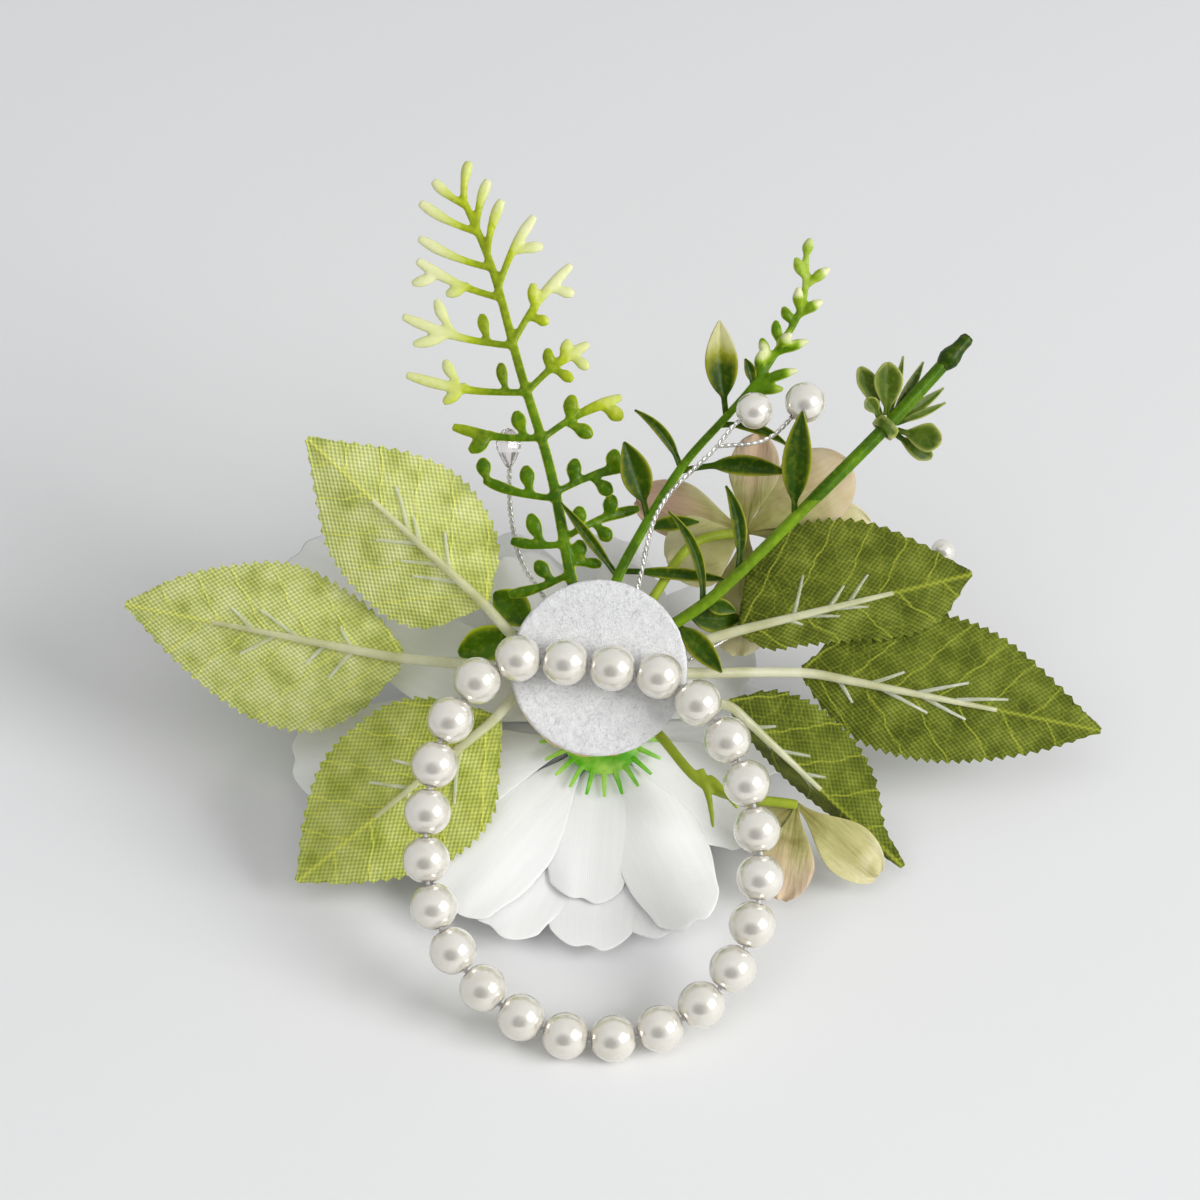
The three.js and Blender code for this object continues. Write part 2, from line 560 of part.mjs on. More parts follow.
PETAL_LAYERS.forEach((_, index) => addPiece(`petal_layer_${index + 1}`, petalLayer(index), "silk"));

// Rolled heart of the flower, seated over the peg
const heartBase = pegTop + SEAT_GAP;
const heartRadius = HEART_DIAMETER / 2;
addPiece("flower_heart", turned([
  [0.2, 0], [0.62, 0.2], [1, 0.5], [0.95, 0.72], [0.62, 0.93], [0.25, 1],
].map(([r, w]) => [r * heartRadius, heartBase + w * HEART_HEIGHT]), 18, flowerFrame,
(r, w, turn) => [r * (1 + 0.12 * Math.cos(3 * turn + w / 4)), w]), "silk");

// Where a leaf's middle runs, and its side and face directions there
function leafLine({ base, tip }) {
  const from = vector(base);
  const to = vector(tip);
  const middle = from.clone().lerp(to, 0.5);
  middle.z += LEAF_BOW;
  return new THREE.QuadraticBezierCurve3(from, middle, to);
}

function leafFrameAt(line, t) {
  const along = line.getTangentAt(t);
  const face = new THREE.Vector3(0, 0, 1).addScaledVector(along, -along.z).normalize();
  const side = new THREE.Vector3().crossVectors(face, along);
  if (side.y < 0) {
    side.negate();
  }
  return { middle: line.getPointAt(t), side, face };
}

// The half width between two of a leaf's stations.
function halfWidthAt(widths, t) {
  const next = Math.max(1, LEAF_STATIONS.findIndex((station) => station >= t));
  const share = (t - LEAF_STATIONS[next - 1]) / (LEAF_STATIONS[next] - LEAF_STATIONS[next - 1]);
  return THREE.MathUtils.lerp(widths[next - 1], widths[next], share);
}

// A woven blade: a thin sheet with a toothed edge, creased along its rib.
function leafBlade(leaf) {
  const line = leafLine(leaf);
  const rows = 20;
  const rings = [];
  for (let i = 0; i <= rows; i++) {
    const t = i / rows;
    const { middle, side, face } = leafFrameAt(line, t);
    const tooth = i % 2 && i > 1 ? LEAF_TOOTH_DEPTH : 0;
    const across = (widths, fold, sign) => {
      const angle = THREE.MathUtils.degToRad(fold);
      const w = halfWidthAt(widths, t) - tooth;
      return middle.clone()
        .addScaledVector(side, sign * w * Math.cos(angle))
        .addScaledVector(face, -w * Math.sin(angle));
    };
    const upper = across(leaf.upper, leaf.foldUpper, 1);
    const lower = across(leaf.lower, leaf.foldLower, -1);
    const line3 = [upper, upper.clone().lerp(middle, 0.5), middle, lower.clone().lerp(middle, 0.5), lower];
    const under = line3.map((p) => p.clone().addScaledVector(face, -LEAF_THICKNESS)).reverse();
    rings.push([...line3, ...under]);
  }
  return loft(rings);
}

// A leaf's plastic stem: out of the glue, then along the wrist side of the blade as its rib.
function leafStem(leaf) {
  const line = leafLine(leaf);
  const radiusAt = taper(LEAF_STEM_DIAMETER, LEAF_RIB_END_DIAMETER);
  const onBlade = [0, 0.25, 0.5, 0.75, 1].map((share) => {
    const { middle, face } = leafFrameAt(line, share * leaf.rib);
    return middle.addScaledVector(face, SEAT_GAP + radiusAt(0.3 + 0.7 * share));
  });
  const route = routeFromGlue(leaf.exit, GLUE_FRONT - LEAF_STEM_DIAMETER, onBlade);
  return rod(curveThrough(route), radiusAt, 11, 6);
}
for (const leaf of LEAVES) {
  addPiece(`leaf_${leaf.name}`, leafBlade(leaf), "leaf");
  addPiece(`leaf_stem_${leaf.name}`, leafStem(leaf), "rib");
}

// Fern: one moulding, branches with side lobes off a bent stem
function fernSprig() {
  const depth = GLUE_FRONT - FERN_STEM_DIAMETER / 2 - SEAT_GAP;
  const line = curveThrough(routeFromGlue(FERN_EXIT, depth, FERN_ROUTE.map(vector)));
  const shapes = [rod(line, taper(FERN_STEM_DIAMETER, FERN_TIP_DIAMETER), 10, 6)];
  for (const { at, reach, lobes } of FERN_BRANCHES) {
    const from = line.getPointAt(shareAtHeight(line, at));
    const tip = from.clone().add(vector(reach));
    shapes.push(leaflet(from, tip, FERN_LOBE_WIDTH, FERN_THICKNESS, CLUB));
    for (const [share, lobe] of lobes) {
      const root = from.clone().lerp(tip, share);
      shapes.push(leaflet(root, root.clone().add(vector(lobe)), FERN_LOBE_WIDTH, FERN_THICKNESS, CLUB));
    }
  }
  return joined(shapes);
}
addPiece("fern_sprig", fernSprig(), "fern");

// Leafy sprig: narrow leaves off a bent stem, then a spike of buds
function leavesOn(line, leaves) {
  return leaves.map(({ at, tip, width }) =>
    leaflet(line.getPointAt(shareAtHeight(line, at)), vector(tip), width, SPRIG_LEAF_THICKNESS));
}
function leafySprig() {
  const depth = GLUE_FRONT - SPRIG_STEM_DIAMETER / 2 - SEAT_GAP;
  const line = curveThrough(routeFromGlue(SPRIG_EXIT, depth, SPRIG_ROUTE.map(vector)));
  const shapes = [rod(line, taper(SPRIG_STEM_DIAMETER, SPRIG_TIP_DIAMETER), 12, 6), ...leavesOn(line, SPRIG_LEAVES)];
  for (const { at, tip } of SPRIG_BUDS) {
    const from = line.getPointAt(shareAtHeight(line, at));
    shapes.push(leaflet(from, vector(tip), SPRIG_BUD_DIAMETER, 0.9 * SPRIG_BUD_DIAMETER, CLUB));
  }
  return joined(shapes);
}
addPiece("leafy_sprig", leafySprig(), "sprig");

// Capped stem: a rod with a few narrow leaves that ends in a bulb
const cappedRadius = CAPPED_STEM_DIAMETER / 2;
const cappedLine = curveThrough(
  routeFromGlue(CAPPED_EXIT, GLUE_FRONT - cappedRadius - SEAT_GAP, CAPPED_ROUTE.map(vector)));
const capFrame = frameAlong(cappedLine.getPointAt(1), cappedLine.getTangentAt(1));
addPiece("capped_stem", joined([
  rod(cappedLine, () => cappedRadius, 10, 8),
  turned([[0.6, -0.15], [1, 0.2], [0.75, 0.5], [0.7, 0.85], [0.3, 1]].map(([r, w]) =>
    [(r * CAP_DIAMETER) / 2, w * CAP_LENGTH]), 8, capFrame),
  ...leavesOn(cappedLine, CAPPED_LEAVES),
]), "sprig");

// Rosette: round-ended leaves on a collar that slides over the capped stem
function stemRosette() {
  const place = shareAtHeight(cappedLine, ROSETTE_HEIGHT);
  const middle = cappedLine.getPointAt(place);
  const axis = cappedLine.getTangentAt(place);
  const frame = frameAlong(middle, axis);
  const inner = cappedRadius + SEAT_GAP;
  const outer = inner + ROSETTE_COLLAR_WALL;
  const collar = [];
  for (let j = 0; j < 12; j++) {
    const turn = (j / 12) * 2 * Math.PI;
    collar.push([[inner, -1], [outer, -1], [outer, 1], [inner, 1]].map(([r, w]) =>
      new THREE.Vector3(r * Math.cos(turn), r * Math.sin(turn), w).applyMatrix4(frame)));
  }
  const shapes = [loft(collar, true)];
  for (const { reach, width } of ROSETTE_LEAVES) {
    // A leaf starts in the collar's wall, where it looks from the stem.
    const out = vector(reach).addScaledVector(axis, -vector(reach).dot(axis)).normalize();
    const from = middle.clone().addScaledVector(out, inner + ROSETTE_COLLAR_WALL / 2);
    const to = middle.clone().add(vector(reach));
    shapes.push(leaflet(from, to, width, SPRIG_LEAF_THICKNESS, ROUND));
  }
  return joined(shapes);
}
addPiece("stem_rosette", stemRosette(), "sprig");

// Filler florets: soft round petals seated on the end of their own stem
for (const floret of FLORETS) {
  const head = vector(floret.head);
  const facing = vector(floret.facing).normalize();
  const radius = FLORET_STEM_DIAMETER / 2;
  const line = curveThrough(routeFromGlue(floret.exit, floret.depth, [vector(floret.bend), head]));
  addPiece(`${floret.name}_stem`, rod(line, () => radius, 10, 6), "sprig");
  // The petals clear the stem's slanted end.
  const slant = radius * Math.sin(line.getTangentAt(1).angleTo(facing));
  const seat = head.clone().addScaledVector(facing, SEAT_GAP + slant);
  const middle = seat.clone().addScaledVector(facing, FLORET_THICKNESS / 2);
  addPiece(floret.name, joined([
    turned([[FLORET_HUB_RADIUS, 0], [FLORET_HUB_RADIUS, FLORET_THICKNESS]], 10, frameAlong(seat, facing)),
    ...floret.petals.map(({ tip, width }) => leaflet(middle, vector(tip), width, FLORET_THICKNESS, ROUND)),
  ]), "floret");
}

// Pearl sprays: thin wires out of the glue with a pearl, or a clear drop, on each free end
const wireRadius = SPRAY_WIRE_DIAMETER / 2;
const wireDepth = GLUE_FRONT - wireRadius - SEAT_GAP;
const wire = (points, steps) => rod(curveThrough(points), () => wireRadius, steps, 6);

// A wire's end sits in the pearl's bore.
function pearlOnEnd(name, place, direction, diameter) {
  addPiece(name, boredPearl(diameter, SPRAY_PEARL_BORE, 5, 10, frameAlong(place, direction)), "pearl");
}

const sprayBend = vector(SPRAY_BEND);
const sprayFork = vector(SPRAY_FORK);
const forkStart = sprayFork.clone().lerp(sprayBend, 0.05);
const branches = SPRAY_ENDS.map(({ bend, place }) => [forkStart, vector(bend), vector(place)]);
addPiece("spray_wire_upper", joined([
  wire(routeFromGlue(SPRAY_EXIT, wireDepth, [sprayBend, sprayFork]), 8),
  ...branches.map((branch) => wire(branch, 4)),
]), "wire");
SPRAY_ENDS.forEach(({ name, place, diameter }, i) =>
  pearlOnEnd(name, vector(place), curveThrough(branches[i]).getTangentAt(1), diameter));

const sidePearl = vector(SIDE_PEARL_PLACE);
const sideBends = SIDE_WIRE_BENDS.map(vector);
const sideRoute = routeFromGlue(SIDE_WIRE_EXIT, GLUE_BACK + SIDE_WIRE_FROM_BACK, [...sideBends, sidePearl]);
addPiece("spray_wire_side", wire(sideRoute, 10), "wire");
pearlOnEnd("spray_pearl_3", sidePearl, sidePearl.clone().sub(sideBends[1]), SIDE_PEARL_DIAMETER);

const crystalBends = CRYSTAL_BENDS.map(vector);
const crystalEnd = vector(CRYSTAL_PLACE);
const crystalAxis = crystalEnd.clone().sub(crystalBends[1]).normalize();
const crystalFrame = frameAlong(crystalEnd.clone().addScaledVector(crystalAxis, SEAT_GAP), crystalAxis);
const crystalRoute = routeFromGlue(CRYSTAL_EXIT, GLUE_BACK + CRYSTAL_FROM_BACK, [...crystalBends, crystalEnd]);
addPiece("crystal_wire", wire(crystalRoute, 10), "wire");
addPiece("crystal_drop", turned(
  [[0.25, 0], [0.75, 0.3], [1, 0.62], [0.7, 0.9], [0.15, 1]].map(([r, w]) =>
    [(r * CRYSTAL_DIAMETER) / 2, w * CRYSTAL_LENGTH]), 8, crystalFrame), "crystal");

// The origin is under the middle of the corsage, on the table.
corsage.updateMatrixWorld(true);
const box = new THREE.Box3().setFromObject(corsage, true);
leaned.position.set(-(box.min.x + box.max.x) / 2, -(box.min.y + box.max.y) / 2, -box.min.z);

export default corsage;
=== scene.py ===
import math
import random

import bpy
from mathutils import Matrix, Vector, noise


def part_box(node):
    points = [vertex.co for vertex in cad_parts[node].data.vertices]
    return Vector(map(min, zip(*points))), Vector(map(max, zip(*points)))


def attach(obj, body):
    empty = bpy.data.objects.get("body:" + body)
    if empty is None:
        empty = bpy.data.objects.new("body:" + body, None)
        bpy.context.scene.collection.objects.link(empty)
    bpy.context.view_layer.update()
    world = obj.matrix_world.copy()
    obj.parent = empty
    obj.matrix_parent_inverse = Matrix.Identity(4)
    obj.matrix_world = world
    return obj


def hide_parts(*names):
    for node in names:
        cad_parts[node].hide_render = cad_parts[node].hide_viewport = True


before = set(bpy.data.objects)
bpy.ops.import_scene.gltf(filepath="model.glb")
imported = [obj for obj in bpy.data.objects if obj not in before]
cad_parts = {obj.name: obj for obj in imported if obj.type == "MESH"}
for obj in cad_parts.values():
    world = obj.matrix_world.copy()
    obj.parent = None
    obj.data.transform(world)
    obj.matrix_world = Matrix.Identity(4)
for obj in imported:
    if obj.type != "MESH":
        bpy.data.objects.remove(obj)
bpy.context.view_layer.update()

# Table, lamps and camera: a plain pale table under one large soft lamp from the right and a weak one above.
# The camera looks square at the leaning felt, so places on the corsage are given in millimetres from the
# middle of the felt. The room is pale where gloss mirrors it, and dim around the camera.
MM = 0.001
PAD_LEAN = math.radians(45)
pad_low, pad_high = (Vector(corner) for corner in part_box("felt_pad"))
PAD_MIDDLE = (pad_low + pad_high) / 2
ACROSS = Vector((1, 0, 0))
UPWARD = Vector((0, math.cos(PAD_LEAN), math.sin(PAD_LEAN)))
WRISTWARD = Vector((0, -math.sin(PAD_LEAN), math.cos(PAD_LEAN)))
CAMERA_DISTANCE = 650
FRAME_MIDDLE = (0.2, 11.5)
FRAME_WIDTH = 203.4
SENSOR_WIDTH = 36
LAMPS = {
    "key_lamp": {"place": (1560, 160, 1240), "width": 1.1, "power": 33, "in_gloss": True},
    "fill_lamp": {"place": (-200, 250, 1300), "width": 1.2, "power": 6, "in_gloss": False},
}
ROOM_COLOUR = (0.96, 0.98, 1, 1)
ROOM_LIGHT = 0.36
ROOM_SEEN_IN_GLOSS = 0.8
# The room dims about this direction, between two cosines of the angle from it, to a share of its light
DIM_DIRECTION = (-0.157, -0.9, 0.4)
DIM_EDGE = (0.74, 0.95)
DIM_SHARE = 0.12
TABLE_WIDTH = 4
TABLE_COLOUR = (0.85, 0.85, 0.852, 1)


def on_pad(x, y, out):
    """A place on the corsage: across, up the spray, and towards the wrist."""
    return PAD_MIDDLE + MM * (x * ACROSS + y * UPWARD + out * WRISTWARD)


def set_inputs(tree, node, inputs):
    """Sets a node's inputs, each to a value or to a link from another node's output."""
    for key, value in inputs.items():
        if isinstance(value, bpy.types.NodeSocket):
            tree.links.new(value, node.inputs[key])
        else:
            node.inputs[key].default_value = value
    return node


def add_node(tree, kind, inputs=None, **settings):
    """A new node with its settings and its inputs."""
    node = tree.nodes.new("ShaderNode" + kind)
    for setting, value in settings.items():
        setattr(node, setting, value)
    return set_inputs(tree, node, inputs or {})


def math_node(tree, operation, *values, clamp=False):
    """The outcome of an operation on numbers and other nodes' outputs."""
    return add_node(tree, "Math", dict(enumerate(values)), operation=operation, use_clamp=clamp).outputs[0]


def map_range(tree, value, source, target=(0, 1)):
    """A value moved from one range to another and held inside it."""
    ends = dict(zip(("From Min", "From Max", "To Min", "To Max"), (*source, *target)))
    return add_node(tree, "MapRange", {"Value": value, **ends}).outputs["Result"]


def new_finish(name, roughness, **inputs):
    """A new material, its node tree and its shader. Underscores stand for the spaces in an input's name."""
    finish = bpy.data.materials.new(name)
    finish.use_nodes = True
    tree = finish.node_tree
    shader = set_inputs(tree, tree.nodes["Principled BSDF"], {"Roughness": roughness})
    set_inputs(tree, shader, {key.replace("_", " "): value for key, value in inputs.items()})
    return finish, tree, shader


bpy.ops.object.camera_add(location=on_pad(*FRAME_MIDDLE, CAMERA_DISTANCE), rotation=(PAD_LEAN, 0, 0))
camera = bpy.context.object
camera.data.sensor_width = SENSOR_WIDTH
camera.data.lens = SENSOR_WIDTH * CAMERA_DISTANCE / FRAME_WIDTH
camera.data.clip_start = 0.01
bpy.context.scene.camera = camera
bpy.context.scene.view_settings.view_transform = "Standard"
for name, lamp in LAMPS.items():
    place = on_pad(*lamp["place"])
    aim = (PAD_MIDDLE - place).to_track_quat("-Z", "Y").to_euler()
    bpy.ops.object.light_add(type="AREA", location=place, rotation=aim)
    bpy.context.object.name = name
    bpy.context.object.data.size = lamp["width"]
    bpy.context.object.data.energy = lamp["power"]
    bpy.context.object.visible_glossy = lamp["in_gloss"]

world = bpy.context.scene.world or bpy.data.worlds.new("room")
bpy.context.scene.world = world
world.use_nodes = True
tree = world.node_tree
directions = add_node(tree, "TexCoord").outputs["Generated"]
towards_viewer = add_node(tree, "VectorMath", {0: directions, 1: DIM_DIRECTION}, operation="DOT_PRODUCT")
room_share = map_range(tree, towards_viewer.outputs["Value"], DIM_EDGE, (1, DIM_SHARE))
ray = add_node(tree, "LightPath").outputs
in_gloss = math_node(tree, "MAXIMUM", ray["Is Glossy Ray"], ray["Is Transmission Ray"])
room_level = map_range(tree, in_gloss, (0, 1), (ROOM_LIGHT, ROOM_SEEN_IN_GLOSS))
room_strength = math_node(tree, "MULTIPLY", room_share, room_level)
in_view = math_node(tree, "MULTIPLY", ray["Is Camera Ray"], ROOM_SEEN_IN_GLOSS)
backdrop = math_node(tree, "MAXIMUM", room_strength, in_view)
set_inputs(tree, tree.nodes["Background"], {"Color": ROOM_COLOUR, "Strength": backdrop})

bpy.ops.mesh.primitive_plane_add(size=TABLE_WIDTH)
table = bpy.context.object
table.name = "table_top"
table.data.materials.append(new_finish("table_paper", 0.75, Base_Color=TABLE_COLOUR)[0])

# Felt pad: a disc punched from light grey needle felt that covers the glued stem ends.
# It is matted fibre all through, so its face is mottled, its edge is soft, and loose hairs lie on it.
FELT_RADIUS = 15
FELT_THICKNESS = 1.6
HAIR_COUNT = 320
HAIR_THICKNESS = 0.06
HAIR_LENGTHS = (0.7, 1.7)
HAIR_BEND = 0.9
HAIR_STEPS = 3
HAIR_LIFT = 0.03
HAIR_TAPER = 0.2
HAIR_OVERHANG = 0.15


def noise_field(tree, scale, detail=4, distortion=0, stretch=(1, 1, 1), source="Object"):
    """A noise pattern over the piece, with features about 1 / scale metres across."""
    place = add_node(tree, "TexCoord").outputs[source]
    stretched = add_node(tree, "Mapping", {"Vector": place, "Scale": stretch}).outputs["Vector"]
    form = {"Vector": stretched, "Scale": scale, "Detail": detail, "Distortion": distortion}
    return add_node(tree, "TexNoise", form).outputs["Fac"]


def colour_ramp(tree, value, stops):
    """Colours by a value, each stop a position and a colour."""
    ramp = add_node(tree, "ValToRGB", {"Fac": value})
    elements = ramp.color_ramp.elements
    while len(elements) < len(stops):
        elements.new(0.5)
    for element, (position, colour) in zip(elements, stops):
        element.position = position
        element.color = (*colour, 1)
    return ramp.outputs["Color"]


def bump_from(tree, shader, value, height):
    """Raises the surface by a value, up to a height in millimetres."""
    bump = add_node(tree, "Bump", {"Height": value, "Distance": height * MM})
    set_inputs(tree, shader, {"Normal": bump.outputs["Normal"]})
    return bump


def mottled_finish(name, roughness, tone, stops, grain=None, height=0, **inputs):
    """A finish whose colours follow one noise, and its relief, of a height in millimetres, another. A noise
    is given by its scale, detail and distortion."""
    finish, tree, shader = new_finish(name, roughness, **inputs)
    set_inputs(tree, shader, {"Base Color": colour_ramp(tree, noise_field(tree, *tone), stops)})
    if grain:
        bump_from(tree, shader, noise_field(tree, *grain), height)
    return finish


def hand_over(piece, finish, node=None, body="corsage"):
    """Gives a piece its finish and its body, and hides the CAD node that it stands for."""
    if finish:
        piece.data.materials.clear()
        piece.data.materials.append(finish)
    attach(piece, body)
    if node:
        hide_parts(node)


def select_only(*pieces):
    """Selects pieces, with the first one active."""
    bpy.ops.object.select_all(action="DESELECT")
    for piece in pieces:
        piece.select_set(True)
    bpy.context.view_layer.objects.active = pieces[0]


def apply_modifier(piece, kind, **settings):
    """Adds a modifier to the piece and applies it."""
    modifier = piece.modifiers.new(kind.lower(), kind)
    for setting, value in settings.items():
        setattr(modifier, setting, value)
    bpy.context.view_layer.objects.active = piece
    bpy.ops.object.modifier_apply(modifier=modifier.name)


def settle(piece, name):
    """Puts the piece's place and turn into its mesh, and names it."""
    select_only(piece)
    bpy.ops.object.transform_apply(location=True, rotation=True, scale=True)
    piece.name = piece.data.name = name
    return piece


def lumpy_disc(name, radius, depth, middle, corners, edge, edge_steps, voxel, lumps):
    """A disc that lies on the pad, with a round edge and soft lumps: their size, height and mid level."""
    bpy.ops.mesh.primitive_cylinder_add(vertices=corners, radius=radius * MM, depth=depth * MM,
                                        location=on_pad(0, 0, middle), rotation=(PAD_LEAN, 0, 0))
    disc = settle(bpy.context.object, name)
    apply_modifier(disc, "BEVEL", width=edge * MM, segments=edge_steps, limit_method="ANGLE")
    apply_modifier(disc, "REMESH", mode="VOXEL", voxel_size=voxel * MM, use_smooth_shade=True)
    size, height, level = lumps
    clouds = bpy.data.textures.new(name, "CLOUDS")
    clouds.noise_scale = size * MM
    apply_modifier(disc, "DISPLACE", texture=clouds, strength=height * MM, mid_level=level)
    return disc


def rods(name, routes, thickness, sides=4, smoothness=3, closed=False):
    """Round rods as one mesh. A route is a list of places, each with its share of the thickness."""
    line = bpy.data.curves.new(name, "CURVE")
    line.dimensions = "3D"
    line.bevel_depth = thickness * MM / 2
    line.bevel_resolution = max(0, sides // 2 - 2)
    line.resolution_u = smoothness
    line.use_fill_caps = True
    for route in routes:
        spline = line.splines.new("NURBS")
        spline.points.add(len(route) - 1)
        spline.order_u = min(4, len(route))
        spline.use_endpoint_u = not closed
        spline.use_cyclic_u = closed
        for point, (place, share) in zip(spline.points, route):
            point.co = (*place, 1)
            point.radius = share
    piece = bpy.data.objects.new(name, line)
    bpy.context.collection.objects.link(piece)
    select_only(piece)
    bpy.ops.object.convert(target="MESH")
    bpy.ops.object.shade_smooth()
    return bpy.context.object


def pad_rods(name, routes, thickness, **form):
    """Rods whose places are given on the pad."""
    placed = [[(on_pad(*place), share) for place, share in route] for route in routes]
    return rods(name, placed, thickness, **form)


felt = lumpy_disc("felt_disc", FELT_RADIUS, FELT_THICKNESS, middle=0, corners=96, edge=0.45, edge_steps=3,
                  voxel=0.35, lumps=(1.6, 0.22, 0.62))
felt_random = random.Random(4)
hair_routes = []
for _ in range(HAIR_COUNT):
    turn = felt_random.uniform(0, 2 * math.pi)
    radius = FELT_RADIUS * math.sqrt(felt_random.uniform(0, 1))
    heading = felt_random.uniform(0, 2 * math.pi)
    bend = felt_random.uniform(-HAIR_BEND, HAIR_BEND)
    x, y = radius * math.cos(turn), radius * math.sin(turn)
    length = felt_random.uniform(*HAIR_LENGTHS)
    hair = []
    for step in range(HAIR_STEPS + 1):
        out = FELT_THICKNESS / 2 + HAIR_LIFT + HAIR_LIFT * (step % 2)
        hair.append(((x, y, out), 1 - HAIR_TAPER * step))
        x += length / HAIR_STEPS * math.cos(heading)
        y += length / HAIR_STEPS * math.sin(heading)
        heading += bend
        if math.hypot(x, y) > FELT_RADIUS + HAIR_OVERHANG:
            break
    if len(hair) > 2:
        hair_routes.append(hair)
hairs = pad_rods("felt_hairs", hair_routes, HAIR_THICKNESS)
felt_finish = mottled_finish(
    "needle_felt", roughness=0.95, tone=(800, 8, 2), grain=(1500, 6, 3), height=0.2,
    stops=[(0.3, (0.62, 0.62, 0.625)), (0.45, (0.76, 0.76, 0.762)), (0.7, (0.84, 0.84, 0.84))],
    Sheen_Weight=0.25, Sheen_Roughness=0.6, Specular_IOR_Level=0.15)
hand_over(felt, felt_finish, "felt_pad")
hand_over(hairs, felt_finish)

# Glue: hot glue squeezed between the felt and the stems, set into one amber lump.
# It is smooth and slightly see-through, and a thin bead of it shows along the lower left edge of the felt.
GLUE_RADIUS = 13
GLUE_FRONT = -1.1
GLUE_DEPTH = 5
GLUE_BEAD_THICKNESS = 0.9
GLUE_BEAD_STEPS = 10
GLUE_BEAD_START = 208
GLUE_BEAD_TURN = 7.5
GLUE_BEAD_INSET = 0.15
GLUE_BEAD_WANDER = 0.25
GLUE_BEAD_WAVE = 2.1
GLUE_BEAD_DROP = 0.1


def join_pieces(pieces, name):
    """Joins meshes into the first one."""
    select_only(*pieces)
    bpy.ops.object.join()
    pieces[0].name = pieces[0].data.name = name
    return pieces[0]


glue = lumpy_disc("glue_lump", GLUE_RADIUS, GLUE_DEPTH, middle=GLUE_FRONT - GLUE_DEPTH / 2, corners=64,
                  edge=1.8, edge_steps=5, voxel=0.6, lumps=(5, 1.1, 0.75))
bead_route = []
for step in range(GLUE_BEAD_STEPS + 1):
    turn = math.radians(GLUE_BEAD_START + GLUE_BEAD_TURN * step)
    reach = FELT_RADIUS - GLUE_BEAD_INSET + GLUE_BEAD_WANDER * math.sin(GLUE_BEAD_WAVE * step)
    place = (reach * math.cos(turn), reach * math.sin(turn), -FELT_THICKNESS / 2 - GLUE_BEAD_DROP)
    bead_route.append((place, 0.4 + 0.6 * math.sin(math.pi * step / GLUE_BEAD_STEPS)))
glue_bead = pad_rods("glue_bead", [bead_route], GLUE_BEAD_THICKNESS, sides=10, smoothness=6)
glue = join_pieces([glue, glue_bead], "glue_lump")
glue_finish = mottled_finish(
    "hot_glue", roughness=0.22, tone=(260, 3), grain=(260, 3), height=0.2,
    stops=[(0.35, (0.62, 0.42, 0.13)), (0.65, (0.8, 0.66, 0.36))],
    Subsurface_Weight=0.3, Subsurface_Radius=(0.002, 0.0015, 0.0008))
hand_over(glue, glue_finish, "glue_pad")

# Bracelet pearls: round plastic beads dipped in an ivory pearl coat, each with a bore for the elastic.
# Two of them are glued to the felt. The others turn on the elastic, so each moves by itself.
PEARL_RADIUS = 4
PEARL_LEAST_BORE = 1.8
PEARL_COUNT = 24
PEARL_RINGS = 28
PEARL_SEGMENTS = 40
BORE_RING_SHARE = 0.31481
PEARL_RIM_ROUNDING = 0.18
GLUED_PEARLS = (2, 3)


def even_shares(steps):
    """Even shares from 0 to 1."""
    return [step / steps for step in range(steps + 1)]


def turned_piece(name, profile, steps=72):
    """A shape turned about the z axis from a profile of radius and height in millimetres."""
    mesh = bpy.data.meshes.new(name)
    mesh.from_pydata([(radius * MM, 0, height * MM) for radius, height in profile],
                     [(i, i + 1) for i in range(len(profile) - 1)], [])
    piece = bpy.data.objects.new(name, mesh)
    bpy.context.collection.objects.link(piece)
    select_only(piece)
    apply_modifier(piece, "SCREW", angle=2 * math.pi, steps=steps, render_steps=steps,
                   use_merge_vertices=True, merge_threshold=0.01 * MM)
    bpy.ops.object.mode_set(mode="EDIT")
    bpy.ops.mesh.select_all(action="SELECT")
    bpy.ops.mesh.remove_doubles(threshold=0.005 * MM)
    bpy.ops.mesh.normals_make_consistent(inside=False)
    bpy.ops.object.mode_set(mode="OBJECT")
    bpy.ops.object.shade_smooth_by_angle(angle=math.radians(35))
    return piece


def bored_bead(name, radius, least_bore):
    """A smooth bead about the z axis. Its bore is as wide as the first of its rings past the least width, and
    the bore's rim is rounded."""
    turns = [math.pi * share for share in even_shares(PEARL_RINGS)]
    arc = [(radius * math.sin(turn), radius * math.cos(turn)) for turn in turns]
    arc = [place for place in arc if 2 * place[0] > least_bore]
    rim, top = arc[0]
    inside = [(rim, side * BORE_RING_SHARE * top) for side in (-1, 1)]
    bead = turned_piece(name, [*arc, *inside, arc[0]], PEARL_SEGMENTS)
    apply_modifier(bead, "BEVEL", width=PEARL_RIM_ROUNDING * MM, segments=2, limit_method="ANGLE",
                   angle_limit=math.radians(40))
    bpy.ops.object.shade_smooth(keep_sharp_edges=False)
    return bead


def copy_of(model, name, placing):
    """A copy with its own mesh, moved there by a matrix."""
    copy = bpy.data.objects.new(name, model.data.copy())
    copy.data.name = name
    copy.data.transform(placing)
    bpy.context.collection.objects.link(copy)
    return copy


def standing_along(place, direction):
    """The matrix that stands a piece made about the z axis at a place, along a direction."""
    return Matrix.Translation(place) @ direction.to_track_quat("Z", "Y").to_matrix().to_4x4()


def node_middle(node):
    """The middle of a CAD node's vertices."""
    points = [vertex.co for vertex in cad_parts[node].data.vertices]
    return sum(points, Vector()) / len(points)


